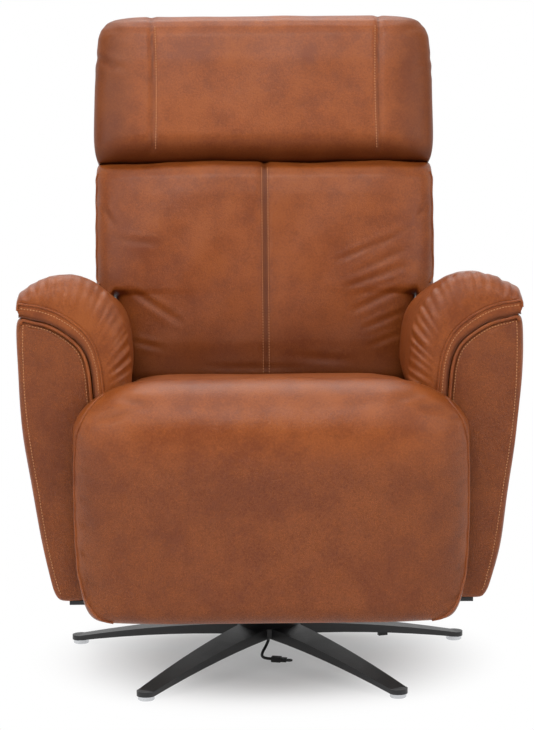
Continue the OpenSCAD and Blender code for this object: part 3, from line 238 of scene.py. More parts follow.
def subdivided(obj):
    """The object with one level of subdivision applied."""
    only(obj)
    finer = obj.modifiers.new("Finer", "SUBSURF")
    finer.levels = finer.render_levels = 1
    bpy.ops.object.modifier_apply(modifier="Finer")
    return obj


def places(obj):
    """An object's points and their normals."""
    n = len(obj.data.vertices)
    co, no = np.zeros(n * 3), np.zeros(n * 3)
    obj.data.vertices.foreach_get("co", co)
    obj.data.vertices.foreach_get("normal", no)
    return co.reshape(-1, 3), no.reshape(-1, 3)


def settle(obj, co):
    """Puts the object's points in new places."""
    obj.data.vertices.foreach_set("co", np.asarray(co, float).ravel())
    obj.data.update()


def mark(obj, name, values):
    """Keeps a number on each point for the finishes to read."""
    layer = obj.data.attributes.get(name) or obj.data.attributes.new(name, "FLOAT", "POINT")
    layer.data.foreach_set("value", np.clip(values, 0, 1).astype(np.float32))


def ripple(p, size, seed):
    """A soft, even randomness of about -1 to 1 over points, with waves of the given size."""
    rng = np.random.default_rng(seed)
    total = np.zeros(len(p))
    for _ in range(9):
        way = rng.normal(size=p.shape[1])
        way /= np.linalg.norm(way)
        total += np.sin(p @ way * 2 * math.pi / (size * rng.uniform(0.7, 1.5)) + rng.uniform(0, 6.28))
    return total / 4.2


def line_distance(co, line):
    """Each place's distance from a line in the plane of X and Z, whichever side it is on."""
    flat = np.stack([np.abs(co[:, 0]), co[:, 2]], 1)
    return np.sqrt(((flat[:, None] - np.asarray(line)[None]) ** 2).sum(2)).min(1)


def ease(value, low, high):
    """0 below low, 1 above high and smooth between."""
    t = np.clip((np.asarray(value, float) - low) / (high - low), 0, 1)
    return t * t * (3 - 2 * t)


def look_up(value, stations):
    """What a table of pairs gives for the value."""
    return np.interp(value, *zip(*stations))


class Relief:
    """Depths and painted shade gathered over a cover's points, then pressed in together."""

    def __init__(self, obj, flat=None):
        self.obj = obj
        self.co, self.no = places(obj)
        self.flat = self.co[:, [0, 2]] if flat is None else flat(self.co)
        self.depth = np.zeros(len(self.co))
        self.dark = np.zeros(len(self.co))

    def swell(self, amount):
        """Raises the cover."""
        self.depth += amount

    def shade(self, amount):
        """Darkens the cover where it is lighter than the amount: painted shade in seams, folds and grooves,
        and the headrest's darker outer strips.
        """
        self.dark = np.maximum(self.dark, amount)

    def channel(self, distance, depth, width, mask, dark):
        """A sewn channel, where the leather dips towards its seam and painted shade lies along it."""
        self.depth -= depth * np.exp(-(distance / width) ** 2) * mask
        self.shade(dark * np.exp(-(distance / (0.32 * width)) ** 2) * mask)

    def fold(self, a, b, depth, width, mask, dark):
        """A fold along the line from a to b with a soft ridge on each side, and painted shade in its
        hollow.
        """
        a, b = np.asarray(a, float), np.asarray(b, float)
        way = b - a
        t = np.clip(((self.flat - a) @ way) / (way @ way), 0, 1)
        away = np.linalg.norm(self.flat - a - t[:, None] * way, axis=1) / width
        fade = np.sin(math.pi * np.clip(0.06 + 0.88 * t, 0, 1)) ** 0.8 * mask
        self.depth += depth * fade * (0.55 * np.exp(-(away - 1.7) ** 2) - np.exp(-away ** 2))
        self.shade(dark * fade * np.exp(-(away / 0.7) ** 2))

    def folds(self, rows, mask, dark):
        """Folds from rows of both ends, with depth and width in millimetres, each with painted shade in its
        hollow.
        """
        for x0, h0, x1, h1, depth, width in rows:
            self.fold((x0, h0), (x1, h1), depth / 1000, width / 1000, mask, dark)

    def press(self, pebble):
        """Moves the points and keeps the painted shade, and the strength of the pebble grain."""
        settle(self.obj, self.co + self.no * self.depth[:, None])
        # The painted shade and the headrest's darker strips are kept on each point for the leather finish.
        mark(self.obj, "painted_shade_and_tone", self.dark)
        mark(self.obj, "pebble", np.broadcast_to(pebble, self.depth.shape))


def tube(name, points, radius):
    """A round cord of eight sides through points, closed at both ends."""
    p, sides = np.asarray(points, float), 8
    way = unit(np.gradient(p, axis=0))
    side = np.cross(way[0], (0.3, 0.5, 0.8))
    turns = [2 * math.pi * (j + 0.5) / sides for j in range(sides)]
    verts = []
    for k in range(len(p)):
        side = unit(side - way[k] * (side @ way[k]))
        up = np.cross(way[k], side)
        verts += [p[k] + radius * (math.cos(t) * side + math.sin(t) * up) for t in turns]
    verts += [p[0], p[-1]]
    last = (len(p) - 1) * sides
    faces = wall(len(p), sides)
    faces += [((j + 1) % sides, j, len(verts) - 2) for j in range(sides)]
    faces += [(last + j, last + (j + 1) % sides, len(verts) - 1) for j in range(sides)]
    return made(name, verts, faces)


def cast(obj, points, way):
    """Where rays along way from the points meet the object, and the normals there."""
    hits, normals = [], []
    way = Vector(way).normalized()
    for p in points:
        ok, place, normal, _ = obj.ray_cast(Vector(p), way)
        if ok:
            hits.append(np.array(place))
            normals.append(np.array(normal))
    return np.array(hits), np.array(normals)


def cast_from_front(obj, side, line):
    """The cast from the front at the line's places in X and Z, on one side of the chair."""
    return cast(obj, [(side * a, -0.7, b) for a, b in line], (0, 1, 0))


# One stitch, in shares of its length, of its half width and of its height
STITCH_SIZE = (0.0013, 0.0008)
STITCH_POINTS = [
    (-0.5, 0.0, -0.3), (-0.32, 0.62, 0.3), (-0.32, -0.62, 0.3), (0.32, 0.62, 0.3),
    (0.32, -0.62, 0.3), (0.5, 0.0, -0.3), (-0.2, 0.0, 0.95), (0.2, 0.0, 0.95),
    (-0.3, 0.55, -0.4), (-0.3, -0.55, -0.4), (0.3, 0.55, -0.4), (0.3, -0.55, -0.4),
]
STITCH_FACES = [
    (0, 2, 6), (0, 6, 1), (1, 6, 7, 3), (6, 2, 4, 7), (7, 4, 5), (3, 7, 5), (0, 1, 8), (0, 9, 2),
    (0, 8, 9), (1, 3, 10, 8), (2, 9, 11, 4), (3, 5, 10), (4, 11, 5), (10, 5, 11), (8, 10, 11, 9),
]


def stitches(name, rows):
    """Rows of stitches as one mesh. Each row is its points and their normals."""
    sew = bpy.context.scene.recliner_sewing
    wide, high = STITCH_SIZE
    verts, faces = [], []
    for points, normals in rows:
        run = np.r_[0, np.cumsum(np.linalg.norm(np.diff(points, axis=0), axis=1))]

        def along(s, values):
            return np.array([np.interp(s, run, values[:, k]) for k in range(3)])

        for s in np.arange(sew.pitch, run[-1] - sew.pitch, sew.pitch):
            at = along(s, points)
            way = unit(along(s + 0.001, points) - at)
            up = along(s, normals)
            up = unit(up - way * (up @ way))
            side = np.cross(way, up)
            base = len(verts)
            verts += [at + way * x * sew.stitch + side * y * wide + up * z * high
                      for x, y, z in STITCH_POINTS]
            faces += [tuple(base + i for i in f) for f in STITCH_FACES]
    return made(name, verts, faces)


def on_back(x, v, h):
    """A place on the leaning back, from its depth and its height along the back."""
    x, v, h = np.broadcast_arrays(x, v, h)
    return np.stack([x, BACK_Y + v * math.cos(RAKE) + h * math.sin(RAKE),
                     BACK_Z + h * math.cos(RAKE) - v * math.sin(RAKE)], -1)


def off_back(co):
    """The x, depth and height along the back of places."""
    y, z = co[:, 1] - BACK_Y, co[:, 2] - BACK_Z
    return np.stack([co[:, 0], y * math.cos(RAKE) - z * math.sin(RAKE),
                     y * math.sin(RAKE) + z * math.cos(RAKE)], 1)


def cast_on_back(obj, xs, hs):
    """The cast into the leaning back at places across it and heights along it."""
    way = on_back(0, 1, 0) - on_back(0, 0, 0)
    return cast(obj, on_back(xs, -0.12, hs), way)


def dress(obj, body, slot, finish, *nodes, fill=None):
    """The last steps for a piece: finish, body and hiding what it stands for. The slot is not used."""
    obj.data.materials.clear()
    obj.data.materials.append(finish)
    if isinstance(body, str):
        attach(obj, body)
    else:
        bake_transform(obj)
    if nodes:
        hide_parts(*nodes)


def piping(name, line, count, radius, pebble, body, slot="leather"):
    """A leather cord sewn into a seam, with count places along its line."""
    obj = tube(name, smooth_line(line, count), radius)
    mark(obj, "pebble", np.full(len(obj.data.vertices), pebble))
    dress(obj, body, slot, FINISHES["leather"])


def sew(name, rows, body):
    """A piece of stitches along rows of casts."""
    dress(stitches(name, rows), body, "leather", FINISHES["thread"])


# Shader helpers

class Value:
    """A socket whose sums and products add Math nodes."""

    def __init__(self, tree, socket):
        self.tree, self.socket = tree, socket

    def _math(self, operation, a, b=0.0):
        return self.tree.value("ShaderNodeMath", {0: a, 1: b}, operation=operation)

    def __add__(self, other):
        return self._math("ADD", self, other)

    def __radd__(self, other):
        return self._math("ADD", other, self)

    def __sub__(self, other):
        return self._math("SUBTRACT", self, other)

    def __rsub__(self, other):
        return self._math("SUBTRACT", other, self)

    def __mul__(self, other):
        return self._math("MULTIPLY", self, other)

    def __rmul__(self, other):
        return self._math("MULTIPLY", other, self)

    def sine(self):
        return self._math("SINE", self)

    def least(self, other):
        return self._math("MINIMUM", self, other)

    def most(self, other):
        return self._math("MAXIMUM", self, other)


class Tree:
    """A node tree, emptied, and the one method that adds to it."""

    def __init__(self, owner):
        owner.use_nodes = True
        self.tree = owner.node_tree
        self.tree.nodes.clear()

    def node(self, kind, sockets=None, **settings):
        """A new node. Its settings are set first, then its sockets are linked or set."""
        made_node = self.tree.nodes.new(kind)
        for key, value in settings.items():
            setattr(made_node, key, value)
        for key, value in (sockets or {}).items():
            self.put(made_node.inputs[key], value)
        return made_node

    def put(self, socket, value):
        """Links or sets a socket."""
        if isinstance(value, Value):
            value = value.socket
        if isinstance(value, bpy.types.NodeSocket):
            self.tree.links.new(value, socket)
        else:
            socket.default_value = value

    def value(self, kind, sockets, output=0, **settings):
        """One output of a new node."""
        return Value(self, self.node(kind, sockets, **settings).outputs[output])

    def rays(self):
        """Whether a ray comes from the camera, from gloss and through glass."""
        path = self.node("ShaderNodeLightPath").outputs
        return [Value(self, path[f"Is {kind} Ray"]) for kind in ("Camera", "Glossy", "Transmission")]


class Finish(Tree):
    """A material and its node tree."""

    def __init__(self, name):
        self.material = bpy.data.materials.new(name)
        super().__init__(self.material)
        self.shader = self.node("ShaderNodeBsdfPrincipled")
        self.out = self.node("ShaderNodeOutputMaterial", {"Surface": self.shader.outputs[0]})

    def set(self, **sockets):
        """Links or sets the shader's sockets."""
        for key, value in sockets.items():
            self.put(self.shader.inputs[key.replace("_", " ").title().replace("Ior", "IOR")], value)

    def place(self, scale=(1, 1, 1)):
        """Places on the piece itself."""
        at = self.node("ShaderNodeTexCoord").outputs["Object"]
        return self.node("ShaderNodeMapping", {"Vector": at, "Scale": scale}).outputs[0]

    def noise(self, place, scale, detail=3.0, rough=0.55):
        return self.value("ShaderNodeTexNoise", {
            "Vector": place, "Scale": scale, "Detail": detail, "Roughness": rough})

    def cells(self, place, scale, feature="DISTANCE_TO_EDGE"):
        return self.value("ShaderNodeTexVoronoi", {"Vector": place, "Scale": scale}, feature=feature)

    def kept(self, name):
        """A number that mark keeps on each point."""
        return self.value("ShaderNodeAttribute", {}, "Fac", attribute_name=name)

    def ramp(self, value, low, high):
        return self.value("ShaderNodeMapRange", {"Value": value, "From Min": low, "From Max": high},
                          interpolation_type="SMOOTHSTEP")

    def mix(self, share, a, b):
        return self.node("ShaderNodeMix", {0: share, 6: a, 7: b}, data_type="RGBA").outputs[2]

    def bump(self, height, distance, strength):
        return self.node("ShaderNodeBump", {
            "Height": height, "Distance": distance, "Strength": strength}).outputs[0]


def rgba(colour, factor):
    """A colour made lighter or darker."""
    return (*[c * factor for c in colour], 1)


FINISHES = {}


def leather_finish(name, shade=1.0):
    """Full-grain leather: mottled, with painted shade in folds, seams and grooves, with pores and a pebble
    grain.
    """
    s = bpy.context.scene.recliner_leather
    f = Finish(name)
    at = f.place()
    broad, cloud, speck = f.noise(at, 6.0, 2.0), f.noise(at, 26.0, 4.0), f.noise(at, 320.0, 3.0)
    hill = f.ramp(f.cells(at, 1 / s.pebble), 0.0, 0.34)
    pebble, painted_shade_and_tone = f.kept("pebble"), f.kept("painted_shade_and_tone")
    valley = (1.0 - hill) * pebble
    tone = f.ramp(broad * 0.34 + cloud * 0.46 + speck * 0.40, 0.43, 0.76)
    body = f.mix(tone, rgba(s.dark, 1.45 * shade), rgba(s.light, 1.05 * shade))
    # The grain's valleys and the painted shade kept on the points pull the colour towards the dark tone.
    grain_and_painted_shade = f.mix((valley * 0.7 + painted_shade_and_tone * 0.8).least(1.0), body, rgba(s.dark, 0.62 * shade))
    rough = s.roughness + (cloud - 0.5) * 0.16 + valley * 0.12 + painted_shade_and_tone * 0.14
    pores = f.cells(at, 2.2 / s.pebble, "F1")
    height = hill * pebble + pores * (pebble * 0.1 + 0.22) + cloud * 0.9 + speck * 0.16
    f.set(base_color=grain_and_painted_shade, roughness=rough, normal=f.bump(height, 0.00055, 0.9), specular_ior_level=0.28)
    return f.material


def plain_finish(name, colour, rough, metal=0.0, grain=500.0, depth=0.00008, spread=0.12,
                 stretch=(1, 1, 1)):
    """A hard surface with a fine texture and slight changes of tone."""
    f = Finish(name)
    at = f.place(stretch)
    fine, broad = f.noise(at, grain, 4.0), f.noise(at, grain / 28, 3.0)
    tone = f.mix(f.ramp(broad * 0.7 + fine * 0.3, 0.3, 0.7),
                 rgba(colour, 1 - spread), rgba(colour, 1 + spread))
    f.set(base_color=tone, roughness=rough + (fine - 0.5) * 0.14 + (broad - 0.5) * 0.1,
          normal=f.bump(fine + broad * 0.5, depth, 0.7), metallic=metal)
    return f.material


def timber_finish(name):
    """Pale plywood with long grain along X."""
    f = Finish(name)
    rings = f.noise(f.place((2.2, 40, 40)), 2.4, 5.0, 0.65)
    fibre = f.noise(f.place((12, 420, 420)), 1.5, 3.0)
    tone = f.mix(f.ramp(rings * 0.8 + fibre * 0.3, 0.35, 0.8),
                 (0.40, 0.25, 0.125, 1), (0.60, 0.42, 0.24, 1))
    f.set(base_color=tone, roughness=(fibre - 0.5) * 0.2 + 0.62, normal=f.bump(fibre, 0.0002, 0.6))
    return f.material


def webbing_finish(name, threads=2600.0):
    """Black woven webbing. Threads is how closely it is woven, in radians a metre."""
    f = Finish(name)
    parts = f.node("ShaderNodeSeparateXYZ", {"Vector": f.place()}).outputs
    across, along = ((Value(f, parts[axis]) * threads).sine() for axis in "XZ")
    weave = across * along * 0.5 + 0.5
    tone = f.mix(weave, (0.012, 0.012, 0.013, 1), (0.035, 0.034, 0.036, 1))
    f.set(base_color=tone, roughness=weave * 0.1 + 0.82, normal=f.bump(weave, 0.0003, 0.8))
    return f.material


def make_finishes():
    """Each material slot's finish."""
    thread = tuple(bpy.context.scene.recliner_leather.thread)
    FINISHES.update({
        "leather": leather_finish("cognac_leather"),
        "leather_dark": leather_finish("cognac_leather_outer", 0.86),
        "thread": plain_finish("tan_thread", thread, 0.6, grain=2600, depth=0.0002),
        "black_metal": plain_finish("black_powder_coat", (0.014, 0.014, 0.015), 0.42,
                                    grain=1500, depth=0.00016, spread=0.2),
        "steel": plain_finish("zinc_plated_steel", (0.55, 0.55, 0.56), 0.34, 1.0, 380),
        "dark_steel": plain_finish("dark_painted_steel", (0.045, 0.047, 0.052), 0.45, 0.0, 700),
        "glide": plain_finish("silver_glide", (0.62, 0.63, 0.65), 0.26, 1.0, 900, 0.00004),
        "timber": timber_finish("birch_plywood"),
        "black_plastic": plain_finish("black_moulded_plastic", (0.016, 0.016, 0.017), 0.48,
                                      grain=1300, depth=0.00014),
        "button_metal": plain_finish("brushed_button", (0.60, 0.60, 0.61), 0.28, 1.0, 240,
                                     0.00005, stretch=(1, 1, 14)),
        "black_rubber": plain_finish("black_rubber", (0.02, 0.02, 0.021), 0.66, grain=900, depth=0.0001),
        "webbing": webbing_finish("elastic_webbing"),
    })


# The seat and footrest cover

# Two places at the knee, where the cover would start and stop following the footrest. They are handed on
# with the cover, which is not bent here.
BEND = ((0, -0.320, 0.570), (0, -0.445, 0.445))
TOE_R, HEEL_R = 0.034, 0.014
PAD_TOP_Z = 0.395
SEAT_FALL, SEAT_EDGE, SEAT_STEP_Y = 0.046, 0.018, -0.098
UNDERSIDE = [(-0.200, 0.456), (-0.240, 0.455), (-0.285, 0.434), (-0.303, 0.418)]
PAD_EDGE = [
    (0.260, 0.5035), (0.273, 0.4955), (0.285, 0.482), (0.295, 0.466), (0.3028, 0.448),
    (0.307, 0.425), (0.309, 0.39), (0.3095, 0.34), (0.3088, 0.295), (0.307, 0.255), (0.304, 0.222),
    (0.2973, 0.194), (0.2866, 0.171), (0.2698, 0.1545), (0.2494, 0.149),
]
SEAT_FOLDS = [
    (-0.275, 0.470, -0.215, 0.485, 1.2, 7), (0.27, 0.478, 0.22, 0.490, 1.2, 7),
    (-0.235, 0.500, -0.190, 0.496, 1.2, 7), (0.24, 0.503, 0.185, 0.498, 1.2, 7),
]


def roll_radius(x):
    """The knee's radius, which shrinks over the cover's rounded side."""
    u = (abs(x) - CROWN_HALF) / (HALF_W - CROWN_HALF)
    return ROLL_R if u <= 0 else ROLL_R * math.sqrt(max(0.0, 1 - u * u))


def pad_low(x):
    """The footrest's lower edge, which rises towards its corners."""
    v = (abs(x) / HALF_W - 0.78) / 0.22
    rise = 0 if v <= 0 else (1 - math.sqrt(max(0, 1 - v * v))) ** 2.2
    return PAD_LOW + (PAD_WIDE - PAD_LOW) * rise


def line(a, b, count):
    """Points from a up to b, without b."""
    return [(a[0] + (b[0] - a[0]) * k / count, a[1] + (b[1] - a[1]) * k / count) for k in range(count)]


def runs(stops, counts):
    """Points along straight runs from stop to stop, without the last stop."""
    return [p for a, b, count in zip(stops, stops[1:], counts) for p in line(a, b, count)]


def corner(y, z, r, start, end, count):
    """Points round a corner from one angle up to another, without the last one."""
    return [(y + r * math.cos(math.radians(start + (end - start) * k / count)),
             z + r * math.sin(math.radians(start + (end - start) * k / count))) for k in range(count)]


def seat_section(x, inside):
    """The cover's section at x: over the seat, round the knee and round the footrest. Inside
    it reaches back between the arms. Outside it ends at the arms' fronts."""
    r = max(roll_radius(x), 0.0015)
    ky, kz = KNEE
    low, front, top = pad_low(x), ky - r, kz + r
    room = max((kz - r - low) / 2.4, 0.002)
    toe_r, heel_r = (min(full * r / ROLL_R, room) for full in (TOE_R, HEEL_R))
    heel = PAD_REAR if r > 0.012 else ky + 0.75 * r
    if inside:
        rear, fall, edge, base, start = SEAT_REAR, SEAT_FALL, SEAT_EDGE, SEAT_LOW, PAD_TOP_Z
        stops = [(rear - edge / 2, base), (SEAT_STEP_Y, base), *UNDERSIDE, (heel, start)]
        under = runs(stops, (8, 8, 3, 5, 3, 3))
    else:
        rear, fall, edge, base, start = ARM_GAP_Y, 0.0005, 0.0006, kz - 0.2 * r, kz - 0.45 * r
        under = runs([(rear, base - 0.0004), (heel + 0.004, kz - 0.3 * r), (heel, start)], (24, 6))
    crown = rear - edge
    outer = line((rear, base + edge / 2), (rear, top - fall - edge), 7)
    outer += corner(crown, top - fall - edge, edge, 0, 90, 4)
    outer += [(crown + (ky - crown) * s, top - fall * (1 - s) ** 1.15)
              for s in np.linspace(0, 1, 22, endpoint=False)]
    outer += corner(ky, kz, r, 90, 180, 18)
    outer += line((front, kz), (front, low + toe_r), 24)
    outer += corner(front + toe_r, low + toe_r, toe_r, 180, 270, 7)
    outer += line((front + toe_r, low), ((front + PAD_REAR) / 2, low), 3)
    under += line((heel, start), (heel, low + heel_r), len(outer) - len(under) - 8)
    under += corner(heel - heel_r, low + heel_r, heel_r, 0, -90, 5)
    under += line((heel - heel_r, low), ((front + heel) / 2, low), 3)
    return [(x, y, z) for y, z in outer + under[::-1]]


def make_seat():
    def rounding(angles):
        return [CROWN_HALF + (HALF_W - CROWN_HALF) * math.sin(math.radians(a)) for a in angles]

    near = [*np.linspace(0, CROWN_HALF, 15)[1:], *rounding((5, 10, 15, 20, 23.5)), SEAT_HALF - 0.0006]
    far = [SEAT_HALF + 0.0006, *rounding((*range(29, 85, 5), 88))]
    right = [(x, True) for x in near] + [(x, False) for x in far]
    sections = [(-x, inside) for x, inside in right[::-1]] + [(0.0, True)] + right
    rings = [seat_section(x, inside) for x, inside in sections]
    obj = subdivided(cover("seat_and_footrest_cover", rings, (1, 1)))
    r = Relief(obj)
    x, y, z = r.co.T
    front = ease(-r.no[:, 1], 0.2, 0.8) * ease(-y, 0.33, 0.36)
    top = ease(r.no[:, 2], 0.3, 0.9) * ease(z, 0.42, 0.45)
    side = ease(abs(x), 0.20, 0.30)
    r.swell(0.0016 * ripple(r.co, 0.19, 3) * (front + top) + 0.0006 * ripple(r.co, 0.06, 4) * front)
    r.swell(0.004 * np.exp(-((z - 0.26) / 0.09) ** 2) * np.exp(-(x / 0.21) ** 4) * front)
    # Folds down the footrest's sides and over the seat, each with painted shade in its hollow.
    rng = np.random.default_rng(8)
    for k in range(15):
        s = -1 if k % 2 else 1
        height = 0.19 + 0.023 * k + rng.uniform(-0.006, 0.006)
        tip = 0.018 + rng.uniform(0, 0.028)
        r.fold((s * 0.311, height), (s * (0.311 - tip), height + rng.uniform(-0.012, 0.004)),
               0.0013, 0.004, front * side, 0.3)
    r.folds(SEAT_FOLDS, front + top, 0.2)
    r.press(0.25 + 0.6 * front * ease(-z, -0.46, -0.36))
    body, radius = ("chair", "footrest", *BEND), bpy.context.scene.recliner_sewing.piping
    dress(obj, body, "leather", FINISHES["leather"], "seat_cushion", "footrest_pad", fill=0.8)
    for s, name in SIDES:
        path = smooth_line(PAD_EDGE, 170)
        path[:, 0] += 0.0004 * np.sin(path[:, 1] * 150 + s)
        hits, _ = cast_from_front(obj, s, path)
        piping(f"footrest_piping_{name}", hits[::3], 120, radius, 0.4, body)


# Arms

# How far the arm's outline is drawn in, by the distance behind its front and its rear
FRONT_EDGE = [(-0.0005, 0.0125), (0.0005, 0.0085), (0.0030, 0.0040), (0.0070, 0.0012), (0.0120, 0.0003)]
REAR_EDGE = [(-0.018, 0.0008), (-0.009, 0.003), (-0.003, 0.008), (0, 0.015)]
# How far its rear stands in, by height, both in shares of the arm's height
REAR_CUT = [(0, 0.1), (0.08, 0.03), (0.3, 0), (0.8, 0), (0.9, 0.02), (0.97, 0.09), (1.0, 0.2)]
ARM_SEWN_IN = 0.0105
RECESS_HALF, RECESS_R = 0.0425, 0.0175


def arm_point(s):
    """A place in X and Z of shares of the arm's width and height. Above 1 the height runs on
    to the pillow's top."""
    z = ARM_LOW + s[1] * (ARM_TOP - ARM_LOW)
    if s[1] > 1:
        z = ARM_TOP + (s[1] - 1) / PILLOW_RISE * (PILLOW_TOP - ARM_TOP)
    return (ARM_IN + s[0] * (ARM_OUT - ARM_IN), z)


def arm_points(shares):
    return [arm_point(s) for s in shares]


def left_of(line):
    """Ways square to a line, on its left."""
    return np.stack([-line[:, 1], line[:, 0]], 1)


def arm_rings(side):
    """The arm's outline at places from its front to its rear."""
    outer = smooth_line(arm_points(ARM_OUTLINE), 56)
    inner = smooth_line(arm_points([ARM_OUTLINE[0], (0, 0.3), *ARM_CREST[::-1], ARM_OUTLINE[-1]]), 58)
    loop = np.vstack([outer, inner[-2:0:-1]])
    inward = left_of(unit(np.roll(loop, -1, 0) - np.roll(loop, 1, 0)))
    stations = [(ARM_FRONT + y, draw) for y, draw in FRONT_EDGE]
    stations += [(y, 0.0) for y in np.linspace(ARM_FRONT + 0.022, ARM_REAR - 0.03, 26)]
    stations += [(ARM_REAR + y, draw) for y, draw in REAR_EDGE]
    rings = []
    for y, draw in stations:
        x, z = (loop + draw * inward).T
        rear = ARM_REAR - look_up((z - ARM_LOW) / (ARM_TOP - ARM_LOW), REAR_CUT) * (ARM_TOP - ARM_LOW)
        depth = (rear - ARM_FRONT) / (ARM_REAR - ARM_FRONT)
        rings.append(np.stack([side * x, ARM_FRONT + (y - ARM_FRONT) * depth, z], 1))
    return rings


def cut_recess(obj):
    """Sinks the switch's recess into the left arm's outer face."""
    turns = [math.radians(a) for a in range(-90, 90, 9)]
    loop = [(RECESS_HALF - RECESS_R + RECESS_R * math.cos(a), RECESS_R * math.sin(a)) for a in turns]
    loop += [(-y, -z) for y, z in loop]
    n = len(loop)
    verts = [(x, SWITCH[1] + y, SWITCH[2] + z) for x in (-0.45, SWITCH[0]) for y, z in loop]
    ends = [tuple(range(n)), tuple(range(2 * n - 1, n - 1, -1))]
    cutter = made("recess_cutter", verts, ends + wall(2, n))
    only(obj)
    cut = obj.modifiers.new("Recess", "BOOLEAN")
    cut.operation, cut.solver, cut.object = "DIFFERENCE", "EXACT", cutter
    bpy.ops.object.modifier_apply(modifier="Recess")
    bpy.data.objects.remove(cutter)
    obj.data.set_sharp_from_angle(angle=math.radians(50))


def make_arms():
    rows = []
    for side, name in SIDES:
        obj = subdivided(cover(f"arm_{name}_cover", arm_rings(side), (9, 9), (0.0055, 0.003)))
        r = Relief(obj)
        front = ease(-r.no[:, 1], 0.5, 0.9)
        front *= ease(-r.co[:, 1], -ARM_FRONT - 0.02, -ARM_FRONT - 0.004)
        outer = ease(side * r.no[:, 0], 0.3, 0.8)
        r.swell(0.0012 * ripple(r.co, 0.16, 11 + side) * (front + outer))
        r.swell(0.0007 * ripple(r.co, 0.05, 15 + side) * front)
        # A fold across the front panel, with painted shade in its hollow.
        r.fold((side * 0.375, 0.345), (side * 0.300, 0.352), 0.0012, 0.011, front, 0.15)
        # Painted shade along the arm's crest, in the groove under the pillow.
        crest = smooth_line(arm_points([*ARM_CREST[::-1], (0.93, 1.0)]), 120)
        r.shade(0.9 * np.exp(-(line_distance(r.co, crest) / 0.004) ** 2))
        r.press(0.3 + 0.55 * front)
        if side < 0:
            cut_recess(obj)
        edge = smooth_line(arm_points(ARM_OUTLINE[3:]), 120)
        edge += ARM_SEWN_IN * left_of(unit(np.gradient(edge, axis=0)))
        seam = smooth_line(arm_points([*ARM_CREST[::-1], (0.9, 1.0), (0.95, 0.993), (0.985, 0.972)]), 90)
        outward = left_of(unit(np.gradient(seam, axis=0)))
        for row in (edge, (seam - ARM_SEWN_IN * outward)[8:-6]):
            rows.append(cast_from_front(obj, side, row))
        dress(obj, "chair", "leather_dark", FINISHES["leather"], f"arm_body_{name}", fill=0.9)
        welt = [(side * x, ARM_FRONT - 0.0012, z) for x, z in (seam - 0.0038 * outward)[::4]]
        piping(f"arm_{name}_piping", welt, 90, 0.0030, 0.4, "chair", "leather_dark")
    sew("arm_stitching", rows, "chair")


# Arm pillows

# Along the pillow, the width of its flat front band
PILLOW_BAND = [(0, 0.028), (0.2, 0.024), (0.55, 0.020), (1, 0.017)]
PILLOW_ROLL = 0.036
# From front to rear, how full the pillow is on its crown and on its inner flank
PILLOW_CROWN = [
    (0, 1), (0.1, 1), (0.25, 0.93), (0.45, 0.83), (0.65, 0.73), (0.8, 0.67), (0.9, 0.63), (0.96, 0.54),
    (1, 0.36),
]
PILLOW_FLANK = [(0, 1), (0.5, 0.94), (0.9, 0.87), (0.96, 0.8), (1, 0.62)]
GATHER_DEPTH, GATHER_RIDGE = 0.0062, 0.0026


def pillow_lines():
    """The pillow's line along the arm's crest and its outer line."""
    crest = np.array(arm_points([(0.965, 0.997), (0.93, 1), *ARM_CREST]))
    way = unit(crest[1:] - np.vstack([crest[:1], crest[:-2]]))
    inner = np.vstack([crest[:-1] - 0.0005 * left_of(way), arm_points(PILLOW_TUCK)])
    return smooth_line(inner, 112), smooth_line(arm_points(PILLOW_OUTER), 112)


def pillow_stations(s, band):
    """Places from front to rear, each with how far the pillow reaches out along its line."""
    front = ARM_FRONT - 0.003
    stations = [(front + 0.0012, 0.2 * band), (front - 0.0004, 0.5 * band),
                (front - 0.0010, 0.88 * band), (front + 0.0002, band)]
    for a in np.linspace(0.05, 1, 13) * math.pi / 2:
        y = front - 0.0030 * math.sin(2 * a) + PILLOW_ROLL * (1 - math.cos(a))
        stations.append((y, band + (1 - band) * math.sin(a) ** 0.9))
    for at in np.r_[np.linspace(0.125, 0.9, 20), 0.92, 0.94, 0.96, 0.975, 0.99, 1.0]:
        crown, flank = look_up(at, PILLOW_CROWN), look_up(at, PILLOW_FLANK)
        y = front + (PILLOW_REAR - front) * at
        stations.append((y, crown + (flank - crown) * ease(s, 0.42, 0.76)))
    return front, stations


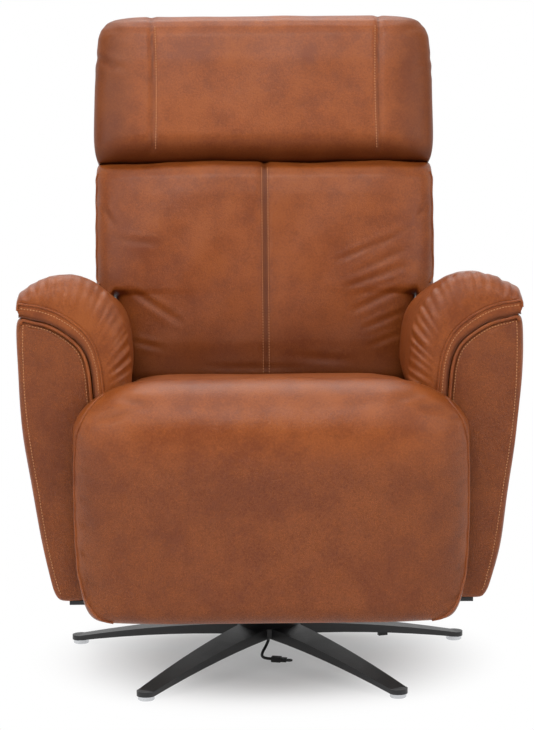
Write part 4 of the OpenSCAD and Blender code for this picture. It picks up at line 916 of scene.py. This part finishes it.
def make_pillows():
    inner, outer = pillow_lines()
    span, out = outer - inner, unit(outer - inner)
    s = np.linspace(0, 1, len(inner))
    strip = look_up(s, PILLOW_BAND)
    band = np.minimum(strip / np.linalg.norm(span, axis=1), 0.8)
    front, stations = pillow_stations(s, band)
    seam = inner + span * band[:, None]
    sewn = inner + span * (band * np.maximum(strip - 0.008, 0.3 * strip) / strip)[:, None]
    rows = []
    for side, name in SIDES:
        rng = np.random.default_rng(21 + side)
        gathers = [(c + rng.uniform(-0.010, 0.010), rng.uniform(0.009, 0.014), rng.uniform(0.5, 1.0),
                    rng.uniform(0.016, 0.040)) for c in np.linspace(0.12, 0.90, 19)]
        rings = []
        for y, reach in stations:
            past = np.clip((reach - band) / np.maximum(1 - band, 1e-6), 0, 1)
            away = past * 0.030 + max(0.0, y - front - PILLOW_ROLL)
            push = np.zeros(len(s))
            for c, w, a, length in gathers:
                dip, low, high = (np.exp(-((s - c - k * w) / w) ** 2) for k in (0, 2, -2))
                fade = a * np.exp(-(away / length) ** 2) * np.minimum(1, past / 0.10)
                push += fade * (GATHER_RIDGE * (low + high) - GATHER_DEPTH * dip)
            x, z = np.vstack([inner + span * reach[:, None] + out * push[:, None], inner[::-1]]).T
            rings.append(np.stack([side * x, np.full(len(x), y), z], 1))
        obj = subdivided(cover(f"arm_pillow_{name}_cover", rings, (3, 3), (0.001, 0.003)))
        r = Relief(obj)
        top = ease(r.no[:, 2], 0.0, 0.6)
        r.swell(0.0016 * ripple(r.co, 0.11, 31 + side) * top + 0.0006 * ripple(r.co, 0.035, 33) * top)
        # Painted shade along the pillow's inner line at its front, in the groove where it meets the arm.
        near = np.exp(-(line_distance(r.co, inner) / 0.0045) ** 2)
        r.shade(0.9 * near * ease(-r.co[:, 1], 0.26, 0.275))
        r.press(0.3)
        rows.append(cast_from_front(obj, side, sewn[5:-7]))
        dress(obj, "chair", "leather", FINISHES["leather"], f"arm_pillow_{name}", fill=0.6)
        path = [(side * x, front - 0.0010, z) for x, z in seam[3:-5][::4]]
        piping(f"arm_pillow_{name}_piping", path, 130, 0.0021, 0.3, "chair")
    sew("pillow_stitching", rows, "chair")


# Back and headrest

# Stations are height as a share, width as a share and how far the edge is rounded in
BACK_HIGH, SHOULDER = 0.376, 0.3856
BACK_HALF, BACK_LOW_HALF = 0.297, 0.2610
BACK_REAR, BACK_WRAP, BACK_WRAP_X = 0.1318, 0.1543, 0.2515
BACK_ROUND, BACK_EDGE, BACK_CROWN = 0.066, 0.046, 0.009
BACK_STATIONS = [
    (-0.06, 0, 0.5), (-0.045, 0, 0.24), (0, 0, 0.08), (0.15, 0, 0), (0.3, 0, 0),
    (SHOULDER - 0.030, 0, 0), (SHOULDER - 0.012, 0.05, 0), (SHOULDER, 0.4, 0),
    (SHOULDER + 0.012, 0.8, 0), (SHOULDER + 0.026, 0.94, 0), (SHOULDER + 0.060, 0.98, 0),
    (0.55, 1, 0), (0.84, 1, 0), (0.92, 0.995, 0.03),
    (0.965, 0.97, 0.14), (0.98, 0.95, 0.24), (1, 0.86, 0.52),
]
BACK_SHELL = [
    (-0.34, -0.12, 0.6), (-0.32, -0.05, 0.3), (-0.28, 0, 0.1), (-0.1, 0.05, 0), (0.2, 0.05, 0),
    (SHOULDER - 0.056, 0.05, 0), (SHOULDER - 0.004, 0.1, 0), (SHOULDER + 0.004, 0.72, 0),
    (SHOULDER + 0.024, 0.95, 0), (0.6, 1, 0), (0.8, 1, 0), (0.94, 1, 0.05), (0.975, 0.97, 0.2),
    (0.99, 0.92, 0.45),
]
BACK_FOLDS = [
    (-0.236, 0.150, -0.150, 0.092, 1.2, 6), (-0.262, 0.238, -0.190, 0.228, 0.7, 6),
    (-0.236, 0.060, -0.180, 0.046, 1.4, 5), (0.238, 0.150, 0.150, 0.108, 1.2, 6),
    (0.262, 0.225, 0.150, 0.172, 0.9, 6), (0.252, 0.190, 0.140, 0.150, 1.1, 6),
    (0.262, 0.262, 0.172, 0.205, 0.7, 5), (0.250, 0.112, 0.170, 0.078, 1.2, 5),
    (0.236, 0.070, 0.180, 0.048, 1.2, 5), (0.215, 0.235, 0.125, 0.196, 1.0, 5),
    (-0.285, 0.298, -0.262, 0.262, 1.2, 5), (0.287, 0.302, 0.266, 0.272, 1.2, 5),
    (-0.10, 0.012, 0.06, 0.010, 1.0, 6), (0.05, 0.030, 0.15, 0.022, 1.0, 7),
]
BACK_PIPING = [(0.155, 0.965), (0.172, 1), (0.350, 1), (0.367, 0.975)]
HEAD_HIGH, HEAD_LOW, HEAD_HALF = 0.260, 0.377, 0.299
HEAD_HINGE, HEAD_ROLL = 0.422, 0.045
HEAD_REAR, HEAD_WRAP, HEAD_WRAP_X = 0.1176, 0.1274, 0.2455
HEAD_ROUND, HEAD_EDGE, HEAD_CROWN = 0.059, 0.036, 0.004
SEAM_X, SEAM_MID = 0.198, 0.0035
HEAD_STATIONS = [
    (0.22, 1, 0), (0.34, 0.998, 0), (0.5, 0.995, 0), (0.674, 0.987, 0), (0.845, 0.973, 0.05),
    (0.9, 0.955, 0.13), (0.95, 0.92, 0.27), (0.98, 0.87, 0.45), (1, 0.78, 0.7),
]
HEAD_SHELL = [
    (0.12, 0.94, 0.6), (0.135, 0.975, 0.3), (0.17, 0.995, 0.1), (0.35, 1, 0), (0.6, 0.99, 0),
    (0.8, 0.975, 0.05), (0.9, 0.955, 0.2), (0.95, 0.92, 0.4), (0.985, 0.85, 0.7),
]
HEAD_FOLDS = [
    (-0.300, 0.566, -0.268, 0.545, 2.0, 7), (-0.298, 0.552, -0.245, 0.538, 1.2, 7),
    (0.300, 0.561, 0.270, 0.545, 1.4, 7), (0.298, 0.535, 0.262, 0.515, 1.0, 7),
    (-0.272, 0.612, -0.232, 0.595, 1.0, 8), (0.278, 0.612, 0.236, 0.598, 1.2, 8),
]


def across(count, power):
    """Shares from -1 to 1 that crowd towards both ends."""
    a = np.sin(np.linspace(-math.pi / 2, math.pi / 2, count))
    return np.sign(a) * np.abs(a) ** power


def edge_drop(s):
    """How far a pad's face falls back towards its sides, from 0 to 1."""
    return 1 - np.sqrt(np.maximum(0, 1 - np.abs(s) ** 10))


def padded_ring(h, half, front, rear, wrap, wrap_x, edge, crown):
    """A level ring of a back pad: its front from side to side, then its rear."""
    s = across(89, 0.82)
    x = s * half
    v = front + edge * edge_drop(s) - crown * (1 - s ** 2)
    deep = np.where(np.abs(x) > wrap_x, wrap, rear)
    return np.vstack([on_back(x, v, h), on_back(x[::-1], deep[::-1], h)])


def table(stations, heights):
    """The stations' two shares at given heights."""
    return [look_up(heights, [(s[0], s[k]) for s in stations]) for k in (1, 2)]


def back_relief(obj):
    """A relief whose flat places lie on the leaning back."""
    return Relief(obj, lambda co: off_back(co)[:, [0, 2]])


def make_back():
    shares = np.r_[np.linspace(-0.06, -0.02, 5), np.linspace(0, 0.35, 17), np.linspace(0.36, 0.43, 14),
                   np.linspace(0.445, 0.90, 24), np.linspace(0.915, 1.0, 10)]
    rings = []
    for s, w, b in zip(shares, *table(BACK_STATIONS, shares)):
        half = BACK_LOW_HALF + (BACK_HALF - BACK_LOW_HALF) * w
        wrap = BACK_WRAP if s > SHOULDER + 0.007 else BACK_REAR
        rings.append(padded_ring(s * BACK_HIGH, half, b * BACK_ROUND, BACK_REAR, wrap, BACK_WRAP_X,
                                 BACK_EDGE * (1 - b), BACK_CROWN * (1 - b)))
    obj = subdivided(cover("back_cushion_cover", rings, (5, 5), (0, 0.006)))
    # The shoulders sag in front, onto the arm pillows
    x, v, h = off_back(places(obj)[0]).T
    sag = ease(np.abs(x), 0.262, 0.285) * ease(-v, -0.11, -0.04)
    sag *= ease(h, 0.10, 0.14) * ease(-h, -0.25, -0.16)
    settle(obj, on_back(x, v, h - 0.036 * sag))
    r = back_relief(obj)
    x, v, h = off_back(r.co).T
    front = ease(-v, -0.075, -0.03)
    r.swell((0.0024 * ripple(r.co, 0.21, 41) + 0.0010 * ripple(r.co, 0.09, 42)) * front)
    r.swell(0.0045 * np.exp(-((np.abs(x) - 0.14) / 0.09) ** 2) * np.exp(-((h - 0.21) / 0.13) ** 2) * front)
    # Sewn channels with painted shade along them: the centre seam, and one across near the top.
    r.channel(np.abs(x), 0.0042, 0.0062, front, 0.85)
    r.channel(np.abs(h - 0.367), 0.001, 0.01, front, 0.2)
    # Painted shade, darker towards the bottom of the back above the seat.
    r.shade(0.75 * ease(-h, -0.15, 0.03) * front)
    # Folds with painted shade in their hollows.
    r.folds(BACK_FOLDS, front, 0.22)
    r.press(0.22)
    rows = [cast_on_back(obj, x, np.linspace(-0.015, 0.366, 160)) for x in (-0.0052, 0.0052)]
    sew("back_stitching", rows, "back")
    for s, name in SIDES:
        hs = np.linspace(0.160, 0.365, 80)
        xs = s * (0.2945 + 0.0005 * np.sin(hs * 130 + s)) * look_up(hs, BACK_PIPING)
        hits, _ = cast_on_back(obj, xs, hs)
        piping(f"back_piping_{name}", hits[::4], 80, 0.0021, 0.3, "back")
    dress(obj, "back", "leather", FINISHES["leather"], "back_cushion", fill=0.75)
    make_shell("back", BACK_SHELL, BACK_HIGH, 0.0, 0.1548, 0.0256, (0.236, BACK_HALF), 0.6)


def make_shell(body, stations, height, low, front, thick, halves, fall):
    """An outer panel behind the back or headrest."""
    at = [s[0] for s in stations]
    shares = np.unique(np.r_[at, np.linspace(at[0], at[-1], 46)])
    k = across(61, 0.85)
    rings = []
    for s, w, b in zip(shares, *table(stations, shares)):
        x, h = k * (halves[0] + (halves[1] - halves[0]) * w), low + s * height
        deep = thick * (1 - fall * b)
        outer_v = front + deep - 0.8 * deep * edge_drop(k)
        rings.append(np.vstack([on_back(x, outer_v, h), on_back(x[::-1], front + 0.0005, h)]))
    obj = subdivided(cover(f"{body}_shell_cover", rings, (2, 2), (0.001, 0.002)))
    r = back_relief(obj)
    rear = ease(off_back(r.co)[:, 1], front + 0.4 * thick, front + 0.8 * thick)
    r.swell(0.0012 * ripple(r.co, 0.2, 51) * rear)
    r.press(0.35)
    dress(obj, body, "leather_dark", FINISHES["leather_dark"], f"{body}_shell", fill=0.9)


def head_seam(h):
    """How far the headrest's seams lie from their middle at a height."""
    return SEAM_X + 0.002 - 0.003 * np.sin((h - HEAD_LOW) / HEAD_HIGH * math.pi)


def make_headrest():
    sections = []
    for a in np.radians(np.linspace(84, 4, 10)):
        full = math.cos(a)
        sections.append((HEAD_HINGE - HEAD_ROLL * math.sin(a), HEAD_HALF * (0.97 + 0.03 * full),
                         HEAD_ROLL * (1 - full), full))
    shares = np.r_[np.linspace(0.2, 0.84, 26), np.linspace(0.86, 1.0, 12)]
    for s, w, b in zip(shares, *table(HEAD_STATIONS, shares)):
        sections.append((HEAD_LOW + s * HEAD_HIGH, w * HEAD_HALF, b * HEAD_ROUND, 1 - b))
    rings = [padded_ring(h, half, front, HEAD_WRAP if h > 0.597 else HEAD_REAR, HEAD_WRAP, HEAD_WRAP_X,
                         HEAD_EDGE * full, HEAD_CROWN * full) for h, half, front, full in sections]
    obj = subdivided(cover("headrest_cover", rings, (5, 5), (0, 0.005)))
    r = back_relief(obj)
    x, v, h = off_back(r.co).T
    front = ease(-v, -0.075, -0.03)
    rise = (h - HEAD_LOW) / HEAD_HIGH
    r.swell((0.0018 * ripple(r.co, 0.24, 61) + 0.0008 * ripple(r.co, 0.10, 62)) * front)
    r.swell(0.0030 * np.exp(-(x / 0.13) ** 4) * np.exp(-((rise - 0.5) / 0.34) ** 2) * front)
    # The seams' channels, with painted shade along them.
    from_seam = np.abs(np.abs(x - SEAM_MID) - head_seam(h))
    r.channel(from_seam, 0.0030, 0.0055, front * ease(h, 0.382, 0.398), 0.8)
    # Painted shade on the roll at the bottom, which faces down.
    r.shade(0.8 * ease(-h, -0.428, -0.388) * front)
    # The outer strips beyond the seams are a darker tone.
    r.shade(0.55 * ease(np.abs(x), SEAM_X, 0.27))
    # Folds with painted shade in their hollows.
    r.folds(HEAD_FOLDS, ease(-v, -0.10, -0.05), 0.25)
    r.press(0.18)
    hs = np.linspace(0.394, 0.617, 140)
    rows = [cast_on_back(obj, SEAM_MID + s * (head_seam(hs) - 0.0060), hs) for s, _ in SIDES]
    sew("headrest_stitching", rows, "headrest")
    dress(obj, "headrest", "leather", FINISHES["leather"], "headrest_cushion", fill=0.8)
    make_shell("headrest", HEAD_SHELL, HEAD_HIGH, HEAD_LOW, 0.1276, 0.066, (0, HEAD_HALF), 0.7)


# Lead, hard parts and studio

def make_lead():
    points = [Vector(p) / 1000 for p in LEAD_ROUTE]
    data = bpy.data.curves.new("power_lead_cord", "CURVE")
    data.dimensions = "3D"
    data.bevel_depth, data.bevel_resolution = 0.0025, 3
    data.use_fill_caps = True
    spline = data.splines.new("BEZIER")
    spline.bezier_points.add(len(points) - 1)
    for point, knot in zip(points, spline.bezier_points):
        knot.co = point
        knot.handle_left_type = knot.handle_right_type = "AUTO"
    obj = linked("power_lead_cord", data)
    data.materials.append(FINISHES["black_rubber"])
    bodies = frame["record"]["behaviour"]["bodies"]
    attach(obj, next(body for body, nodes in bodies.items() if "power_lead" in nodes))
    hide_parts("power_lead")


def finish_nodes():
    """Gives each hard part that still shows the finish of its own material slot."""
    for obj in frame["nodes"].values():
        if not obj.hide_render:
            for slot in obj.material_slots:
                slot.material = FINISHES[slot.material.name.split(".")[0]]


def aim(obj, place, pan, pitch, roll=0.0):
    """Stands a camera or lamp at a place, looking along +Y turned by pan and tipped down by pitch."""
    p, t, r = map(math.radians, (pan, pitch, roll))
    ahead = Vector((math.sin(p) * math.cos(t), math.cos(p) * math.cos(t), -math.sin(t)))
    right = Vector((math.cos(p), -math.sin(p), 0))
    up = right.cross(ahead)
    right, up = right * math.cos(r) + up * math.sin(r), up * math.cos(r) - right * math.sin(r)
    turn = Matrix((right, up, -ahead)).transposed()
    obj.matrix_world = Matrix.Translation(place) @ turn.to_4x4()


def make_camera():
    data = bpy.data.cameras.new("view")
    data.sensor_width, data.lens = 36, 123.3
    data.clip_end = 60
    cam = linked("view", data)
    aim(cam, Vector((-0.0753, -4.1994, 1.061)), 1.02, 7.55, -0.33)
    bpy.context.scene.camera = cam


def make_world(sky):
    """Soft light from all round. The camera, metal and glass see white in its place."""
    world = bpy.data.worlds.new("studio")
    bpy.context.scene.world = world
    w = Tree(world)
    camera, glossy, through = w.rays()
    way = w.node("ShaderNodeTexCoord").outputs["Generated"]
    parts = w.node("ShaderNodeSeparateXYZ", {"Vector": way}).outputs
    rear, above = (w.value("ShaderNodeMapRange", {
        "Value": parts[axis], "From Min": low, "From Max": high, "To Min": 0.10,
    }) for axis, low, high in (("Y", -0.35, 0.25), ("Z", 0.20, 0.85)))
    soft = w.node("ShaderNodeBackground", {"Color": (1, 0.985, 0.965, 1), "Strength": sky})
    white = w.node("ShaderNodeBackground", {
        "Color": (1, 1, 1, 1), "Strength": rear.most(above).most(camera)})
    mixed = w.node("ShaderNodeMixShader", {
        0: camera.most(glossy.most(through)), 1: soft.outputs[0], 2: white.outputs[0]})
    w.node("ShaderNodeOutputWorld", {"Surface": mixed.outputs[0]})


def make_floor():
    """A pale floor that turns white away from the chair and keeps its shadow."""
    bpy.ops.object.select_all(action="DESELECT")
    bpy.ops.mesh.primitive_plane_add(size=30, location=(0, 6, 0))
    floor = bpy.context.object
    floor.name = "floor"
    bpy.ops.object.transform_apply(location=True, rotation=True, scale=True)
    f = Finish("studio_floor")
    at = f.place()
    far = f.value("ShaderNodeVectorMath", {0: at}, "Value", operation="LENGTH")
    camera, glossy, _ = f.rays()
    white_share = (f.ramp(far, 0.14, 0.42) * 0.70 + 0.30) * camera.most(glossy)
    grain = f.noise(at, 30.0, 2.0)
    f.set(base_color=f.mix(grain, (0.86, 0.86, 0.865, 1), (0.9, 0.9, 0.905, 1)),
          roughness=(grain - 0.5) * 0.1 + 0.75)
    glow = f.node("ShaderNodeEmission", {"Color": (1, 1, 1, 1), "Strength": 1.0})
    both = f.node("ShaderNodeMixShader", {0: white_share, 1: f.shader.outputs[0], 2: glow.outputs[0]})
    f.put(f.out.inputs["Surface"], both.outputs[0])
    floor.data.materials.append(f.material)


def make_studio():
    s = bpy.context.scene.recliner_studio
    bpy.context.scene.view_settings.view_transform = "Standard"
    make_world(s.sky)
    for name, place, pan, pitch, power, size in (
            ("key_lamp", (-0.4, -2.4, 3.3), 9, 47, s.key, (2.2, 1.6)),
            ("left_lamp", (-2.4, -2.0, 1.5), 50, 14, s.side, (1.0, 1.6)),
            ("right_lamp", (2.4, -2.0, 1.5), -50, 14, s.side, (1.0, 1.6)),
            ("top_lamp", (-0.3, 1.0, 3.0), 176, 66, s.key * 0.5, (2.2, 1.6))):
        data = bpy.data.lights.new(name, "AREA")
        data.shape = "RECTANGLE"
        (data.size, data.size_y), data.energy = size, power
        aim(linked(name, data), Vector(place), pan, pitch)
    make_floor()


# Operators and panel

class RECLINER_OT_finishes(bpy.types.Operator):
    """Makes the leather, metals, timber and plastics."""
    bl_idname = "recliner.finishes"
    bl_label = "Finishes"

    def execute(self, context):
        make_finishes()
        return {"FINISHED"}


class RECLINER_OT_camera(bpy.types.Operator):
    """Stands the camera at the photograph's view."""
    bl_idname = "recliner.camera"
    bl_label = "Camera"

    def execute(self, context):
        make_camera()
        return {"FINISHED"}


class RECLINER_OT_lead(bpy.types.Operator):
    """Lays the power lead under the hub."""
    bl_idname = "recliner.lead"
    bl_label = "Power lead"

    def execute(self, context):
        make_lead()
        return {"FINISHED"}


class RECLINER_OT_seat(bpy.types.Operator):
    """Covers the seat and footrest in one piece."""
    bl_idname = "recliner.seat"
    bl_label = "Seat and footrest"

    def execute(self, context):
        make_seat()
        return {"FINISHED"}


class RECLINER_OT_arms(bpy.types.Operator):
    """Covers both arms, with piping and stitching."""
    bl_idname = "recliner.arms"
    bl_label = "Arms"

    def execute(self, context):
        make_arms()
        return {"FINISHED"}


class RECLINER_OT_pillows(bpy.types.Operator):
    """Lays a gathered pillow over each arm."""
    bl_idname = "recliner.pillows"
    bl_label = "Arm pillows"

    def execute(self, context):
        make_pillows()
        return {"FINISHED"}


class RECLINER_OT_back(bpy.types.Operator):
    """Covers the back and its outer shell."""
    bl_idname = "recliner.back"
    bl_label = "Back"

    def execute(self, context):
        make_back()
        return {"FINISHED"}


class RECLINER_OT_headrest(bpy.types.Operator):
    """Covers the headrest and its outer shell."""
    bl_idname = "recliner.headrest"
    bl_label = "Headrest"

    def execute(self, context):
        make_headrest()
        return {"FINISHED"}


class RECLINER_OT_hard_parts(bpy.types.Operator):
    """Gives the metal, timber and plastic parts their finishes."""
    bl_idname = "recliner.hard_parts"
    bl_label = "Hard parts"

    def execute(self, context):
        finish_nodes()
        return {"FINISHED"}


class RECLINER_OT_studio(bpy.types.Operator):
    """Builds the floor, backdrop and lamps."""
    bl_idname = "recliner.studio"
    bl_label = "Studio"

    def execute(self, context):
        make_studio()
        return {"FINISHED"}


STEPS = (
    RECLINER_OT_finishes, RECLINER_OT_camera, RECLINER_OT_lead, RECLINER_OT_seat, RECLINER_OT_arms,
    RECLINER_OT_pillows, RECLINER_OT_back, RECLINER_OT_headrest, RECLINER_OT_hard_parts, RECLINER_OT_studio,
)


class RECLINER_PT_panel(bpy.types.Panel):
    """Lists the recliner's settings and steps."""
    bl_label = "Recliner"
    bl_idname = "RECLINER_PT_panel"
    bl_space_type = "VIEW_3D"
    bl_region_type = "UI"
    bl_category = "Recliner"

    def draw(self, context):
        scene = context.scene
        for group, names in ((scene.recliner_leather, ("light", "dark", "thread", "pebble", "roughness")),
                             (scene.recliner_sewing, ("piping", "pitch", "stitch")),
                             (scene.recliner_studio, ("key", "side", "sky"))):
            box = self.layout.box()
            for name in names:
                box.prop(group, name)
        for step in STEPS:
            self.layout.operator(step.bl_idname)


GROUPS = {
    "recliner_leather": ReclinerLeather, "recliner_sewing": ReclinerSewing,
    "recliner_studio": ReclinerStudio,
}


def register():
    for cls in (*GROUPS.values(), *STEPS, RECLINER_PT_panel):
        bpy.utils.register_class(cls)
    for name, cls in GROUPS.items():
        setattr(bpy.types.Scene, name, bpy.props.PointerProperty(type=cls))


def unregister():
    for name in GROUPS:
        delattr(bpy.types.Scene, name)
    for cls in (RECLINER_PT_panel, *STEPS, *GROUPS.values()):
        bpy.utils.unregister_class(cls)


def main():
    register()
    for step in STEPS:
        group, name = step.bl_idname.split(".")
        getattr(getattr(bpy.ops, group), name)()
    bpy.context.view_layer.update()


if __name__ == "__main__":
    main()
